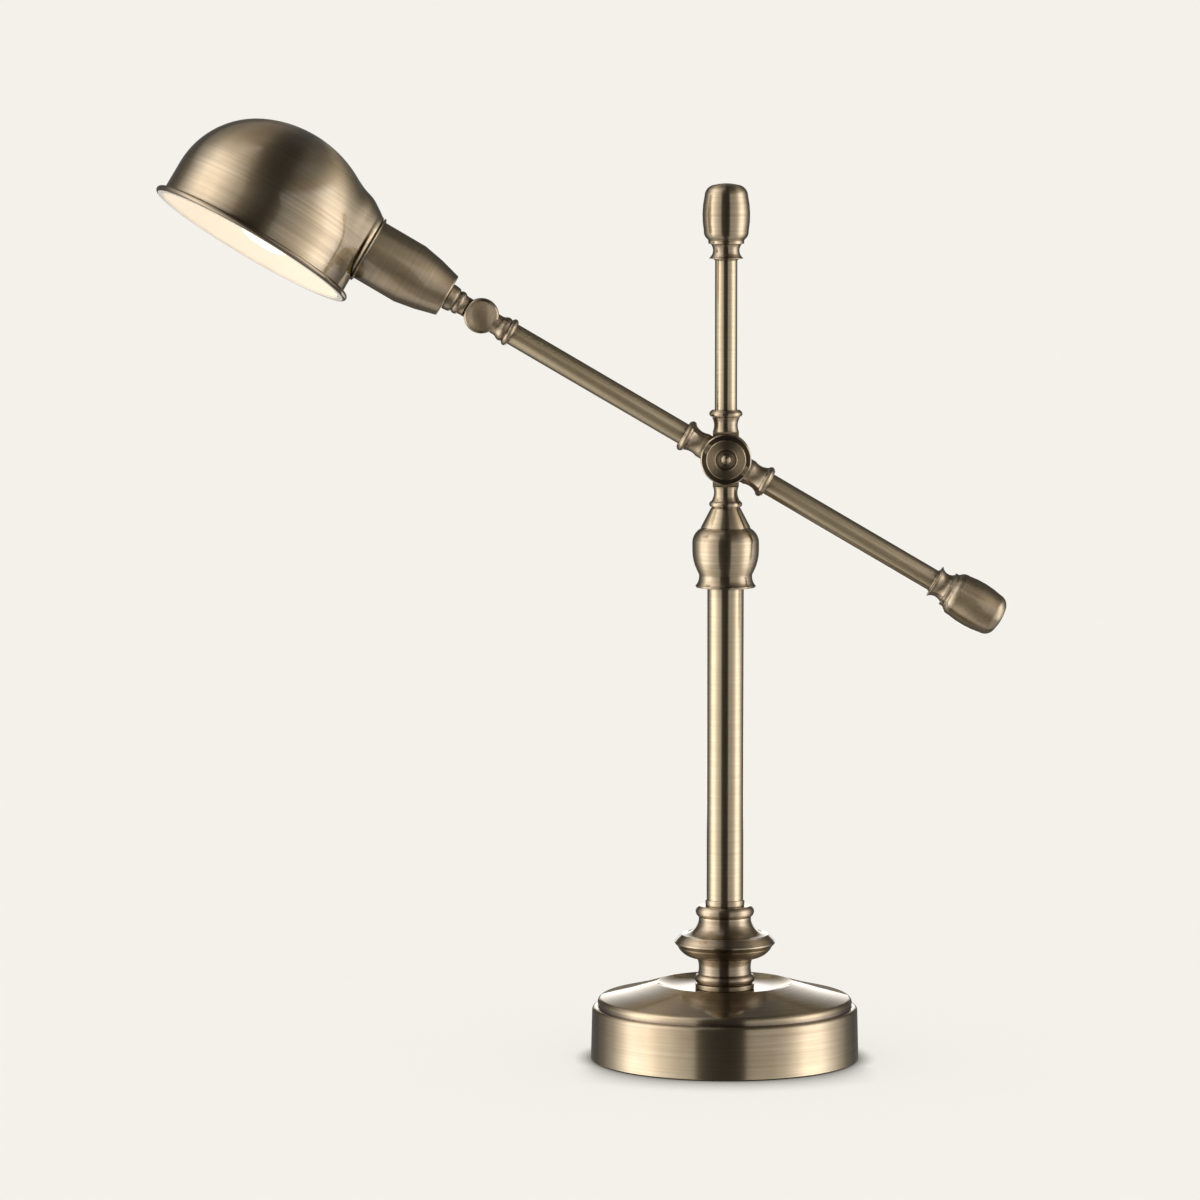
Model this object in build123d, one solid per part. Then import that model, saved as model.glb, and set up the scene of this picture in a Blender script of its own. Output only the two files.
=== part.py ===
from build123d import *
import math
import os

# Boom arm desk lamp in antique brass, at its real size in millimetres.
# The origin is the middle of the base on the desk, +Z is up and the head points to -X.
# The boom lies in the XZ plane, and the front of the lamp faces -Y.

# Fits and gaps that the whole lamp shares
SLIP = 0.05            # radial clearance of pieces that are screwed or pushed together
RUN = 0.08             # radial clearance of a piece that turns on a shaft
FACE_GAP = 0.1         # gap between flat faces that turn past each other
CUT_OVER = 1.0         # how far a cut runs past the face that it opens
FAR = 90.0             # reach of a cut that passes through everything near it
HEX_SIDES = 6

# Bulges of arcs, as shares of their chords
quarter_round_share = math.tan(math.pi / 8) / 2
half_round_share = 0.5
sphere_share = 1.0     # an arc that ends on the axis is a sphere's, whatever its share
dome_edge_share = 0.17
base_dome_share = 0.07
base_dish_share = -0.06
cup_taper_share = 0.02
thin_ring_share = 0.3

# Base: felt pad, cast weight and spun cover
BASE_R = 85.0
WALL_TAPER = 0.8       # how much smaller the wall's top is than its foot
WALL_TOP_Z = 31.3
WALL_ROUND = 2.4
COVER_T = 1.2
COVER_LIFT = 0.8
STEP_WIDTH = 1.2
DOME_EDGE_H = 1.8
DOME_EDGE_ROUND_R = 2.6
DOME_EDGE_ROUND_H = 3.5
CREST_R = 43.0
CREST_Z = 49.0
DISH_R = 25.0
DISH_Z = 45.0
FELT_T = 2.0
FELT_INSET = 0.6
WEIGHT_INSET = 1.0
WEIGHT_H = 18.0
WEIGHT_BOSS_R = 20.0
POCKET_R = 14.0
POCKET_H = 11.0
LEAD_SLOT_W = 10.0
INLET_BORE_R = 3.3
INLET_R = 4.3
INLET_FLANGE_R = 5.4
INLET_FLANGE_T = 1.3
INLET_TAIL = 5.0

# Threaded stem rod, with its nut and washer
ROD_R = 5.0
ROD_BORE_R = 3.5
ROD_END = 1.5
NUT_H = 6.0
NUT_FLATS = 17.0
WASHER_T = 1.5
WASHER_R = 11.0

# Turned foot of the column, a stack from the dish upwards
SPACER_R = 18.7
SPACER_H = 3.3
SPACER_ROUND = 0.8
SPOOL_R = 19.15
SPOOL_H = 16.6
FLANGE_R = 31.8
FLANGE_H = 26.1
COLLAR_R = 18.6
COLLAR_H = 7.1
COLLAR_SEAT_H = 3.2
SLEEVE_WALL = 0.75
SLEEVE_H = 3.8
SLEEVE_ROUND = 0.3

# Column tube, its foot plug and the vase on its top
COLUMN_R = 11.6
COLUMN_WALL = 1.2
COLUMN_SHOWN = 202.6
FOOT_PLUG_H = 18.0
VASE_R = 21.5
VASE_H = 37.7
VASE_TOP_T = 5.0
TUBE_IN_VASE = 15.3
NUT_ROOM_R = 10.4
GRUB_R = 1.5

# Swivel between the vase and the post
STUD_R = 5.0
STUD_BORE_R = 3.2
STUD_IN_HUB = 6.0
STUD_END = 1.5
SWIVEL_NUT_H = 5.0
SWIVEL_NUT_FLATS = 15.0
SWIVEL_SPRING_T = 1.6
SWIVEL_SPRING_R = 8.6
SWIVEL_WASHER_R = 10.5
SWIVEL_WASHER_T = 1.5
CONE_R = 15.75
CONE_TOP_R = 9.3
CONE_H = 12.3

# Pivot hub: two coin halves, each with two necks
HUB_ARM_REACH = 30.9
HUB_BEAD_R = 10.4
COIN_R = 16.0
COIN_FRONT_T = 8.3
COIN_REAR_T = 9.6
COIN_BEVEL = 0.6
SADDLE_R = 18.3
RIM_LIP_W = 0.9
RIM_LIP_H = 0.7
LEAD_BORE_R = 3.0
LEAD_RACE_R = 10.8
LEAD_RACE_DEPTH = 3.2
PIVOT_R = 3.0
PIVOT_HEAD_R = 3.6
PIVOT_HEAD_H = 2.1
PIVOT_CAP_R = 12.5
PIVOT_CAP_H = 2.7
PIVOT_CAP_BEVEL = 0.7
PIVOT_WELL_R = 6.7
PIVOT_WELL_DEPTH = 1.8
PIVOT_WASHER_R = 6.2
PIVOT_WASHER_T = 0.8
PIVOT_SPRING_R = 7.0
PIVOT_SPRING_T = 1.4
PIVOT_NUT_FLATS = 10.0
PIVOT_NUT_H = 4.0
PIVOT_NUT_DOME = 2.6
PIVOT_NUT_ROOM = 1.2

# Thin tubes of the post and of the boom
TUBE_R = 7.0
TUBE_WALL = 1.0
SPIGOT_H = 9.0
UPPER_TUBE_L = 94.1
FRONT_TUBE_L = 124.6
REAR_TUBE_L = 120.8
BOOM_SLOPE = 30.4      # degrees above level at rest

# Finial, used at the top of the post and as the counterweight of the boom
FINIAL_NECK_R = 11.3
FINIAL_NECK_H = 12.4
BARREL_R = 14.45
BARREL_H = 35.8
FINIAL_STUD_R = 3.0
FINIAL_STUD_IN = 14.0

# Knuckle between the boom and the head
KNUCKLE_R = 11.0
KNUCKLE_T = 6.9
KNUCKLE_ROUND = 2.4
KNUCKLE_SADDLE_R = 11.4
KNUCKLE_BASE_REACH = 22.7
KNUCKLE_BASE_R = 9.3
KNUCKLE_ARM_REACH = 24.5
KNUCKLE_ARM_R = 8.6
KNUCKLE_BORE_R = 2.2
KNUCKLE_RACE_R = 7.4
KNUCKLE_RACE_IN_R = 3.6
KNUCKLE_RACE_DEPTH = 2.2
KNUCKLE_SCREW_R = 1.9
KNUCKLE_SCREW_IN = 4.4
KNUCKLE_HEAD_R = 3.9
KNUCKLE_HEAD_H = 2.0
KNUCKLE_SLOT_W = 0.9
KNUCKLE_SLOT_DEPTH = 0.8
KNUCKLE_WASHER_R = 4.6
KNUCKLE_WASHER_T = 0.8
NIPPLE_R = 4.0
NIPPLE_BORE_R = 2.4
NIPPLE_IN_ARM = 9.5
NIPPLE_END = 1.2
HEAD_NUT_FLATS = 13.0
HEAD_NUT_H = 4.0
HEAD_SPRING_R = 7.0
HEAD_SPRING_T = 1.2

# Head: socket cup, socket and dome shade, all turned about the head's own axis by the roll
HEAD_ROLL = 11.5       # degrees at rest, the opening turned to the front
CUP_SMALL_R = 14.2
CUP_R = 20.0
CUP_TAPER_L = 27.3
CUP_L = 56.3
CUP_T = 1.2
CUP_FLOOR_T = 2.0
CUP_ROUND = 1.2
SHADE_RING_R = 22.0
SHADE_RING_H = 2.3
SHADE_RING_STEP_R = 20.6
DOME_R = 65.5
DOME_WALL_H = 20.0
dome_rise_share = 0.8854962     # rise of the dome over its wall, of the dome's radius
crown_share = 1.129771          # radius of the crown, which runs smoothly into the rounder side
SHADE_T = 1.0
NECK_R = 21.6
NECK_AXIS_H = 32.0
NECK_SLOPE = 27.3      # degrees at which the neck widens towards the dome
NECK_L = 27.0
NECK_PROUD = 0.3
RIM_OUT = 3.5          # of the rolled rim past the dome's wall
RIM_BEAD_R = 1.8
SOCKET_R = 18.6
SOCKET_NECK_R = 17.2
SOCKET_NECK_OUT = 8.6
SOCKET_FLOOR_T = 12.0
SCREW_SHELL_R = 14.0
SCREW_SHELL_T = 0.7
SCREW_SHELL_H = 24.0
CONTACT_R = 4.5
CONTACT_H = 1.2
LOCK_RING_R = 19.4
LOCK_RING_H = 3.0
BULB_R = 30.0
BULB_L = 107.0
BULB_CAP_H = 25.0
BULB_TIP_R = 5.0
BULB_TIP_H = 2.0
BULB_GLASS_T = 1.0

# Outlines of the turned pieces, as shares of each piece's own height and largest radius.
# The third value is the bulge of the stretch that ends there, as a share of its chord.
spool_shares = (
    (0.0, 0.89), (0.37, 0.905, 0.30), (0.39, 0.885), (1.0, 0.93, -0.085),
)
flange_shares = (
    (0.0, 0.56), (0.235, 0.925, 0.135), (0.262, 0.93), (0.345, 0.992), (0.37, 1.0, 0.2),
    (0.395, 0.993, 0.2), (0.55, 0.88, 0.03), (0.572, 0.86, 0.15), (0.9, 0.52, -0.17), (1.0, 0.52),
)
collar_shares = ((0.0, 0.892), (0.98, 0.90, 0.27), (1.0, 0.88))
vase_shares = (
    (0.0, 0.868), (0.012, 0.878, 0.3), (0.04, 0.868, 0.3), (0.212, 0.816, -0.10), (0.222, 0.83),
    (0.45, 0.975, 0.14), (0.80, 0.982, 0.04), (0.985, 0.81, 0.16), (1.0, 0.785),
)
hub_arm_shares = (
    (0.52, 0.79), (0.85, 0.855, -0.125), (0.862, 0.885), (0.985, 0.885, 0.33), (1.0, 0.87),
)
finial_neck_shares = (
    (0.0, 0.66), (0.055, 0.68), (0.09, 0.93), (0.125, 0.93, 0.4), (0.83, 0.88, -0.22),
    (0.84, 0.97), (0.87, 1.0, 0.2), (0.97, 1.0), (1.0, 0.97, 0.2),
)
barrel_shares = (
    (0.0, 0.79), (0.02, 0.81), (0.17, 0.975, 0.13), (0.78, 0.945, 0.05), (0.975, 0.5, 0.19),
    (1.0, 0.0, 0.04),
)
knuckle_base_shares = (
    (0.42, 0.70), (0.63, 0.78, -0.09), (0.81, 0.80, 0.16), (0.83, 0.86), (0.985, 0.87, 0.32), (1.0, 0.84),
)
knuckle_arm_shares = (
    (0.42, 0.73), (0.575, 0.76, -0.05), (0.75, 0.80, 0.22), (0.765, 0.83), (0.80, 0.93, 0.1),
    (0.95, 0.99, 0.03), (1.0, 0.93, 0.2),
)
bulb_shares = (
    (0.0, 0.435), (0.12, 0.47, -0.03), (0.38, 0.86, -0.06), (0.66, 0.99, 0.11), (0.87, 0.76, 0.125),
    (1.0, 0.0, 0.18),
)

wall_top_r = BASE_R - WALL_TAPER

# Heights of the stack, each worked out from the one below
spacer_z = DISH_Z
spool_z = spacer_z + SPACER_H
flange_z = spool_z + SPOOL_H
collar_z = flange_z + FLANGE_H
sleeve_z = collar_z + COLLAR_H
vase_z = sleeve_z + COLUMN_SHOWN
swivel_z = vase_z + VASE_H
cone_z = swivel_z + FACE_GAP
hub_z = cone_z + CONE_H + HUB_ARM_REACH

# Distances along the boom from the hub, and along the head from the knuckle
knuckle_at = HUB_ARM_REACH + FRONT_TUBE_L + KNUCKLE_BASE_REACH
cup_at = KNUCKLE_ARM_REACH + FACE_GAP
shade_ring_at = cup_at + CUP_L
shade_neck_at = shade_ring_at + SHADE_RING_H
dome_axis_at = shade_neck_at + DOME_R + NECK_PROUD
socket_at = cup_at + CUP_TAPER_L
socket_end_at = shade_ring_at + SOCKET_NECK_OUT
bulb_cap_at = socket_at + SOCKET_FLOOR_T + CONTACT_H + BULB_TIP_H
bulb_glass_at = bulb_cap_at + BULB_CAP_H

# Frames that pieces are placed in. Along the boom, the local Z axis points away from the hub.
half_turn = 180
quarter_turn = 90
hub_frame = Pos(0, 0, hub_z)
boom_front_frame = hub_frame * Rot(0, BOOM_SLOPE - quarter_turn, 0)
boom_rear_frame = hub_frame * Rot(0, BOOM_SLOPE + quarter_turn, 0)
knuckle_frame = boom_front_frame * Pos(0, 0, knuckle_at)
head_frame = knuckle_frame * Rot(0, 0, HEAD_ROLL)
to_front = Rot(quarter_turn, 0, 0)      # local Z turned to face the front, -Y
to_rear = Rot(-quarter_turn, 0, 0)      # local Z turned to face the rear, +Y


def turned(points):
    """Solid turned about Z from (radius, height) points. A third value bulges that stretch.

    A bulged stretch that ends on the axis is part of a sphere.
    """
    edges = []
    here = points[0][:2]
    for there in list(points[1:]) + [points[0][:2]]:
        end = there[:2]
        if math.dist(here, end) == 0:
            continue
        if len(there) == 3 and end[0] == 0:
            edges.append(ThreePointArc(here, crown_middle(here, end), end))
        elif len(there) == 3:
            edges.append(ThreePointArc(here, bulged_middle(here, end, there[2]), end))
        else:
            edges.append(Line(here, end))
        here = end
    return Rot(quarter_turn, 0, 0) * revolve(make_face(edges), Axis.Y)


def bulged_middle(start, end, bulge_share):
    """Middle point of an arc that bulges to the right of its way by a share of its chord."""
    across = end[0] - start[0]
    up = end[1] - start[1]
    return ((start[0] + end[0]) / 2 + up * bulge_share, (start[1] + end[1]) / 2 - across * bulge_share)


def crown_middle(start, end):
    """Middle point of the arc, centred on the axis, that ends a turned piece."""
    rise = end[1] - start[1]
    sphere_r = (start[0] ** 2 + rise ** 2) / (2 * rise)
    half_angle = math.asin(start[0] / abs(sphere_r)) / 2
    return sphere_r * math.sin(half_angle), end[1] - sphere_r + sphere_r * math.cos(half_angle)


def shaped(outline_shares, height, radius, start=0):
    """Points of an outline given in shares, as (radius, height) or (radius, height, bulge)."""
    points = []
    for share in outline_shares:
        points.append((share[1] * radius, start + share[0] * height) + tuple(share[2:]))
    return points


def rod(radius, low, high):
    """Cylinder on the Z axis between two heights."""
    return Pos(0, 0, (low + high) / 2) * Cylinder(radius, high - low)


def ring(outer, inner, low, high):
    """Ring on the Z axis between two heights."""
    return rod(outer, low, high) - rod(inner, low - CUT_OVER, high + CUT_OVER)


def hex_nut(flats, bore, low, high):
    """Hexagonal nut on the Z axis, with its sharp corners turned off."""
    blank = extrude(RegularPolygon(flats / 2, HEX_SIDES, major_radius=False), high - low)
    corner_r = flats / math.sqrt(3)
    chamfer_h = corner_r - flats / 2
    turned_blank = turned([
        (0, low), (flats / 2, low), (corner_r, low + chamfer_h),
        (corner_r, high - chamfer_h), (flats / 2, high), (0, high),
    ])
    return Pos(0, 0, low) * blank & turned_blank - rod(bore, low - CUT_OVER, high + CUT_OVER)


def split_washer(outer, inner, low, high):
    """Spring washer, a ring with a slanted cut through one side."""
    cut_w = high - low
    cut = Pos(outer, 0, (low + high) / 2) * Rot(quarter_turn / 2, 0, 0) * Box(outer * 2, cut_w / 3, cut_w * 4)
    return ring(outer, inner, low, high) - cut


def cover_outline(inset):
    """Upper outline of the base cover, drawn in by an inset for its inner face."""
    step_r = wall_top_r - WALL_ROUND - STEP_WIDTH - inset
    step_z = WALL_TOP_Z + WALL_ROUND - inset
    edge_z = step_z + DOME_EDGE_H
    return [
        (wall_top_r - inset, WALL_TOP_Z - inset),
        (wall_top_r - WALL_ROUND - inset, step_z, quarter_round_share),
        (step_r, step_z),
        (step_r, edge_z),
        (step_r - DOME_EDGE_ROUND_R, edge_z + DOME_EDGE_ROUND_H, dome_edge_share),
        (CREST_R, CREST_Z - inset, base_dome_share),
        (DISH_R, DISH_Z - inset, base_dish_share),
        (0, DISH_Z - inset),
    ]


def base_cover():
    """Spun shell of the base, open below, with a hole for the stem and one for the bushing."""
    outer = turned([(0, COVER_LIFT), (BASE_R, COVER_LIFT)] + cover_outline(0))
    inner = turned([(0, 0), (BASE_R - COVER_T, 0)] + cover_outline(COVER_T))
    stem_hole = rod(ROD_R + SLIP, 0, DISH_Z + CUT_OVER)
    inlet_hole = inlet_place() * rod(INLET_R + SLIP, -INLET_FLANGE_T - CUT_OVER * 2, CUT_OVER)
    return outer - inner - stem_hole - inlet_hole


def inlet_height():
    """Height of the cord inlet, half way up the pocket under the weight."""
    return FELT_T + POCKET_H / 2


def inlet_wall_r():
    """Outer radius of the slightly sloped wall at the cord inlet."""
    fall_share = (inlet_height() - COVER_LIFT) / (WALL_TOP_Z - COVER_LIFT)
    return BASE_R - WALL_TAPER * fall_share


def inlet_lean():
    """How far the sloped wall leans away over the radius of the bushing's flange."""
    return WALL_TAPER / (WALL_TOP_Z - COVER_LIFT) * INLET_FLANGE_R


def inlet_place():
    """Frame of the cord inlet, on the outer face of the wall at the rear."""
    return Pos(0, inlet_wall_r(), inlet_height()) * to_rear


def cord_bushing():
    """Grommet in the rear wall, with a flange outside and one inside the cover."""
    sag = inlet_wall_r() - math.sqrt(inlet_wall_r() ** 2 - INLET_FLANGE_R ** 2)
    inside = -COVER_T - sag - inlet_lean() - SLIP
    outside = inlet_lean() + SLIP
    body = rod(INLET_R, inside - INLET_FLANGE_T - INLET_TAIL, outside)
    body += rod(INLET_FLANGE_R, outside, outside + INLET_FLANGE_T)
    body += rod(INLET_FLANGE_R, inside - INLET_FLANGE_T, inside)
    bore = rod(INLET_BORE_R, inside - INLET_FLANGE_T - INLET_TAIL - CUT_OVER, INLET_FLANGE_T + CUT_OVER)
    return inlet_place() * (body - bore)


def felt_pad():
    """Felt disc that the lamp stands on."""
    return rod(BASE_R - COVER_T - FELT_INSET, 0, FELT_T)


def base_weight():
    """Cast disc with a boss up to the cover, a pocket for the nut and a slot for the lead."""
    disc_r = wall_top_r - COVER_T - WEIGHT_INSET
    weight = rod(disc_r, FELT_T, FELT_T + WEIGHT_H)
    weight += rod(WEIGHT_BOSS_R, FELT_T, DISH_Z - COVER_T)
    weight -= rod(ROD_R + SLIP, 0, DISH_Z)
    weight -= rod(POCKET_R, 0, FELT_T + POCKET_H)
    slot = Box(LEAD_SLOT_W, disc_r * 2, POCKET_H + FELT_T, align=(Align.CENTER, Align.MIN, Align.MIN))
    return weight - slot


def pocket_roof():
    """Height of the face in the weight's pocket that the washer bears on."""
    return FELT_T + POCKET_H


def base_washer():
    """Flat washer under the weight."""
    return ring(WASHER_R, ROD_R + SLIP, pocket_roof() - WASHER_T, pocket_roof())


def base_nut():
    """Nut that clamps the whole stack on the stem rod."""
    top = pocket_roof() - WASHER_T
    return hex_nut(NUT_FLATS, ROD_R + SLIP, top - NUT_H, top)


def stem_rod():
    """Hollow threaded rod from the nut in the base to the plug in the column."""
    low = pocket_roof() - WASHER_T - NUT_H - ROD_END / 2
    return ring(ROD_R, ROD_BORE_R, low, collar_z + COLLAR_SEAT_H + FOOT_PLUG_H - ROD_END)


def spacer_ring():
    """Plain ring with rounded edges between the base and the spool."""
    top = spacer_z + SPACER_H
    blank = turned([
        (0, spacer_z), (SPACER_R - SPACER_ROUND, spacer_z),
        (SPACER_R, spacer_z + SPACER_ROUND, quarter_round_share), (SPACER_R, top - SPACER_ROUND),
        (SPACER_R - SPACER_ROUND, top, quarter_round_share), (0, top),
    ])
    return blank - rod(ROD_R + SLIP, spacer_z - CUT_OVER, top + CUT_OVER)


def foot_turning(outline_shares, height, radius, low):
    """Turned piece of the foot, bored for the stem rod."""
    points = [(0, low)] + shaped(outline_shares, height, radius, low) + [(0, low + height)]
    return turned(points) - rod(ROD_R + SLIP, low - CUT_OVER, low + height + CUT_OVER)


def lower_spool():
    """Bead and hollow neck at the bottom of the foot."""
    return foot_turning(spool_shares, SPOOL_H, SPOOL_R, spool_z)


def stem_flange():
    """Wide knife-edged flange with the upper neck on it."""
    return foot_turning(flange_shares, FLANGE_H, FLANGE_R, flange_z)


def collar_ring():
    """Round ring that takes the foot of the column tube."""
    blank = foot_turning(collar_shares, COLLAR_H, COLLAR_R, collar_z)
    return blank - rod(COLUMN_R + SLIP, collar_z + COLLAR_SEAT_H, sleeve_z + CUT_OVER)


def tube_sleeve():
    """Thin sleeve round the foot of the column tube."""
    outer = COLUMN_R + SLEEVE_WALL
    top = sleeve_z + SLEEVE_H
    blank = turned([
        (0, sleeve_z), (outer - SLEEVE_ROUND, sleeve_z),
        (outer, sleeve_z + SLEEVE_ROUND, quarter_round_share), (outer, top - SLEEVE_ROUND),
        (outer - SLEEVE_ROUND, top, quarter_round_share), (0, top),
    ])
    return blank - rod(COLUMN_R + SLIP, sleeve_z - CUT_OVER, top + CUT_OVER)


def column_tube():
    """Main tube, from its seat in the collar ring up into the vase."""
    return ring(COLUMN_R, COLUMN_R - COLUMN_WALL, collar_z + COLLAR_SEAT_H, vase_z + TUBE_IN_VASE)


def column_foot_plug():
    """Threaded plug in the foot of the column tube, which the stem rod pulls on."""
    low = collar_z + COLLAR_SEAT_H
    return ring(COLUMN_R - COLUMN_WALL - SLIP, ROD_R + SLIP, low, low + FOOT_PLUG_H)


def vase():
    """Vase-shaped turning on the top of the column, hollow for the tube and the swivel nut."""
    blank = turned([(0, vase_z)] + shaped(vase_shares, VASE_H, VASE_R, vase_z) + [(0, swivel_z)])
    blank -= rod(COLUMN_R + SLIP, vase_z - CUT_OVER, vase_z + TUBE_IN_VASE)
    blank -= rod(NUT_ROOM_R, vase_z, swivel_z - VASE_TOP_T)
    blank -= rod(STUD_R + RUN, vase_z, swivel_z + CUT_OVER)
    return blank - grub_place() * rod(GRUB_R + SLIP, 0, VASE_R)


def grub_place():
    """Frame of the grub screw, at the back of the vase's waist."""
    return Pos(0, 0, vase_z + TUBE_IN_VASE / 2) * to_rear


def vase_grub_screw():
    """Grub screw that holds the vase on the column tube."""
    waist_r = VASE_R * vase_shares[3][1]
    return grub_place() * rod(GRUB_R, COLUMN_R + SLIP, waist_r - SLIP)


def swivel_washer():
    """Friction washer in the underside of the cone, on top of the vase."""
    return ring(SWIVEL_WASHER_R, STUD_R + SLIP, cone_z, cone_z + SWIVEL_WASHER_T)


def swivel_stud():
    """Hollow stud that hangs from the hub down into the vase."""
    low = swivel_z - VASE_TOP_T - FACE_GAP - SWIVEL_SPRING_T - SWIVEL_NUT_H - STUD_END
    return ring(STUD_R, STUD_BORE_R, low, cone_z + CONE_H + STUD_IN_HUB)


def swivel_spring():
    """Spring washer under the top wall of the vase."""
    top = swivel_z - VASE_TOP_T - FACE_GAP
    return split_washer(SWIVEL_SPRING_R, STUD_R + SLIP, top - SWIVEL_SPRING_T, top)


def swivel_nut():
    """Nut of the swivel, inside the vase."""
    top = swivel_z - VASE_TOP_T - FACE_GAP - SWIVEL_SPRING_T
    return hex_nut(SWIVEL_NUT_FLATS, STUD_R + SLIP, top - SWIVEL_NUT_H, top)


def cone_cap():
    """Cone between the vase and the hub, recessed below for the friction washer."""
    blank = turned([(0, cone_z), (CONE_R, cone_z), (CONE_TOP_R, cone_z + CONE_H), (0, cone_z + CONE_H)])
    blank -= rod(SWIVEL_WASHER_R + SLIP, cone_z - CUT_OVER, cone_z + SWIVEL_WASHER_T)
    return blank - rod(STUD_R + SLIP, cone_z - CUT_OVER, cone_z + CONE_H + CUT_OVER)


def hub_arm():
    """One neck of the hub with its bead ring, from the pivot axis outwards along Z."""
    neck = shaped(hub_arm_shares, HUB_ARM_REACH, HUB_BEAD_R)
    return turned([(0, 0), (neck[0][0], 0)] + neck + [(0, HUB_ARM_REACH)])


def tube_spigot():
    """Spigot on the end of a hub neck that the thin tube is pushed over."""
    return rod(TUBE_R - TUBE_WALL - SLIP, HUB_ARM_REACH - SPIGOT_H, HUB_ARM_REACH + SPIGOT_H)


def hub_room():
    """Room for the other hub half: all within the saddle on the local Z side of the pivot."""
    return rod(SADDLE_R, -FACE_GAP / 2, FAR)


def hub_middle():
    """Part of the necks, on the local Z side, that the coin of their own half takes the place of."""
    return rod(LEAD_RACE_R, 0, FAR)


def coin(thickness):
    """Coin half on the local Z side, with a race for the lead and a seat for the washer."""
    seat_depth = PIVOT_WASHER_T / 2
    blank = turned([
        (0, FACE_GAP / 2), (COIN_R, FACE_GAP / 2), (COIN_R, thickness - COIN_BEVEL),
        (COIN_R - COIN_BEVEL, thickness), (0, thickness),
    ])
    race = ring(LEAD_RACE_R, PIVOT_WASHER_R + SLIP, 0, LEAD_RACE_DEPTH)
    return blank - race - rod(PIVOT_WASHER_R + SLIP, -CUT_OVER, seat_depth)


def cap_seat_z():
    """Distance from the pivot plane to the face that the cap ring sits on."""
    return COIN_FRONT_T - RIM_LIP_H


def hub_lead_way():
    """Bore for the lead along a neck, ending in the race round the pivot."""
    race_middle = (LEAD_RACE_R + PIVOT_WASHER_R) / 2
    return rod(LEAD_BORE_R, race_middle, HUB_ARM_REACH + SPIGOT_H + CUT_OVER)


def post_hub():
    """Hub of the post: rear coin half, lower neck for the stud and upper neck for the tube."""
    down = Rot(half_turn, 0, 0)
    hub = hub_arm() + tube_spigot() + down * hub_arm()
    hub -= to_front * hub_room() + to_rear * hub_middle()
    hub += to_rear * coin(COIN_REAR_T)
    hub -= to_rear * rod(PIVOT_R + RUN, -CUT_OVER, COIN_REAR_T + CUT_OVER)
    hub -= down * hub_lead_way()
    hub -= down * rod(STUD_R + SLIP, HUB_ARM_REACH - STUD_IN_HUB, HUB_ARM_REACH + CUT_OVER)
    return hub_frame * hub


def boom_hub():
    """Hub of the boom: front coin half and a neck for each tube."""
    front = Rot(0, BOOM_SLOPE - quarter_turn, 0)
    rear = Rot(0, BOOM_SLOPE + quarter_turn, 0)
    hub = front * (hub_arm() + tube_spigot()) + rear * (hub_arm() + tube_spigot())
    hub -= to_rear * hub_room() + to_front * hub_middle()
    hub += to_front * coin(COIN_FRONT_T)
    hub -= to_front * rod(COIN_R - RIM_LIP_W, cap_seat_z(), COIN_FRONT_T + CUT_OVER)
    hub -= to_front * rod(PIVOT_R + SLIP, -CUT_OVER, COIN_FRONT_T + CUT_OVER)
    hub -= front * hub_lead_way()
    return hub_frame * hub


def pivot_cap():
    """Raised ring on the front coin, with a well for the bolt's head."""
    low = cap_seat_z()
    top = low + PIVOT_CAP_H
    blank = turned([
        (0, low), (PIVOT_CAP_R, low), (PIVOT_CAP_R, top - PIVOT_CAP_BEVEL),
        (PIVOT_CAP_R - PIVOT_CAP_BEVEL, top, quarter_round_share), (PIVOT_WELL_R + PIVOT_CAP_BEVEL / 2, top),
        (PIVOT_WELL_R, top - PIVOT_CAP_BEVEL / 2), (PIVOT_WELL_R, top - PIVOT_WELL_DEPTH),
        (0, top - PIVOT_WELL_DEPTH),
    ])
    return hub_frame * to_front * (blank - rod(PIVOT_R + SLIP, low - CUT_OVER, top + CUT_OVER))


def pivot_rear_stack():
    """Distances behind the pivot plane of the spring washer's and the nut's near faces."""
    spring = COIN_REAR_T + FACE_GAP
    return spring, spring + PIVOT_SPRING_T


def pivot_bolt():
    """Bolt with a domed head at the front, through both coin halves to the nut behind."""
    head_low = cap_seat_z() + PIVOT_CAP_H - PIVOT_WELL_DEPTH
    head_top = head_low + PIVOT_HEAD_H
    tail = -(pivot_rear_stack()[1] + PIVOT_NUT_H)
    bolt = turned([
        (0, tail), (PIVOT_R, tail), (PIVOT_R, head_low), (PIVOT_HEAD_R, head_low),
        (0, head_top, sphere_share),
    ])
    return hub_frame * to_front * bolt


def pivot_washer():
    """Friction washer between the coin halves."""
    half = PIVOT_WASHER_T / 2 - SLIP
    return hub_frame * to_front * ring(PIVOT_WASHER_R, PIVOT_R + RUN, -half, half)


def pivot_spring():
    """Spring washer behind the rear coin half."""
    low, high = pivot_rear_stack()
    return hub_frame * to_rear * split_washer(PIVOT_SPRING_R, PIVOT_R + SLIP, low, high)


def pivot_nut():
    """Cap nut behind the hub."""
    low = pivot_rear_stack()[1]
    top = low + PIVOT_NUT_H
    flat_r = PIVOT_NUT_FLATS / 2
    nut = hex_nut(PIVOT_NUT_FLATS, 0, low, top)
    nut += turned([(0, top), (flat_r, top), (0, top + PIVOT_NUT_DOME + PIVOT_NUT_ROOM, sphere_share)])
    return hub_frame * to_rear * (nut - rod(PIVOT_R + SLIP, low - CUT_OVER, top + PIVOT_NUT_ROOM))


def thin_tube(frame, length):
    """Thin tube pushed over a hub's spigot."""
    return frame * ring(TUBE_R, TUBE_R - TUBE_WALL, HUB_ARM_REACH, HUB_ARM_REACH + length)


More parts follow.
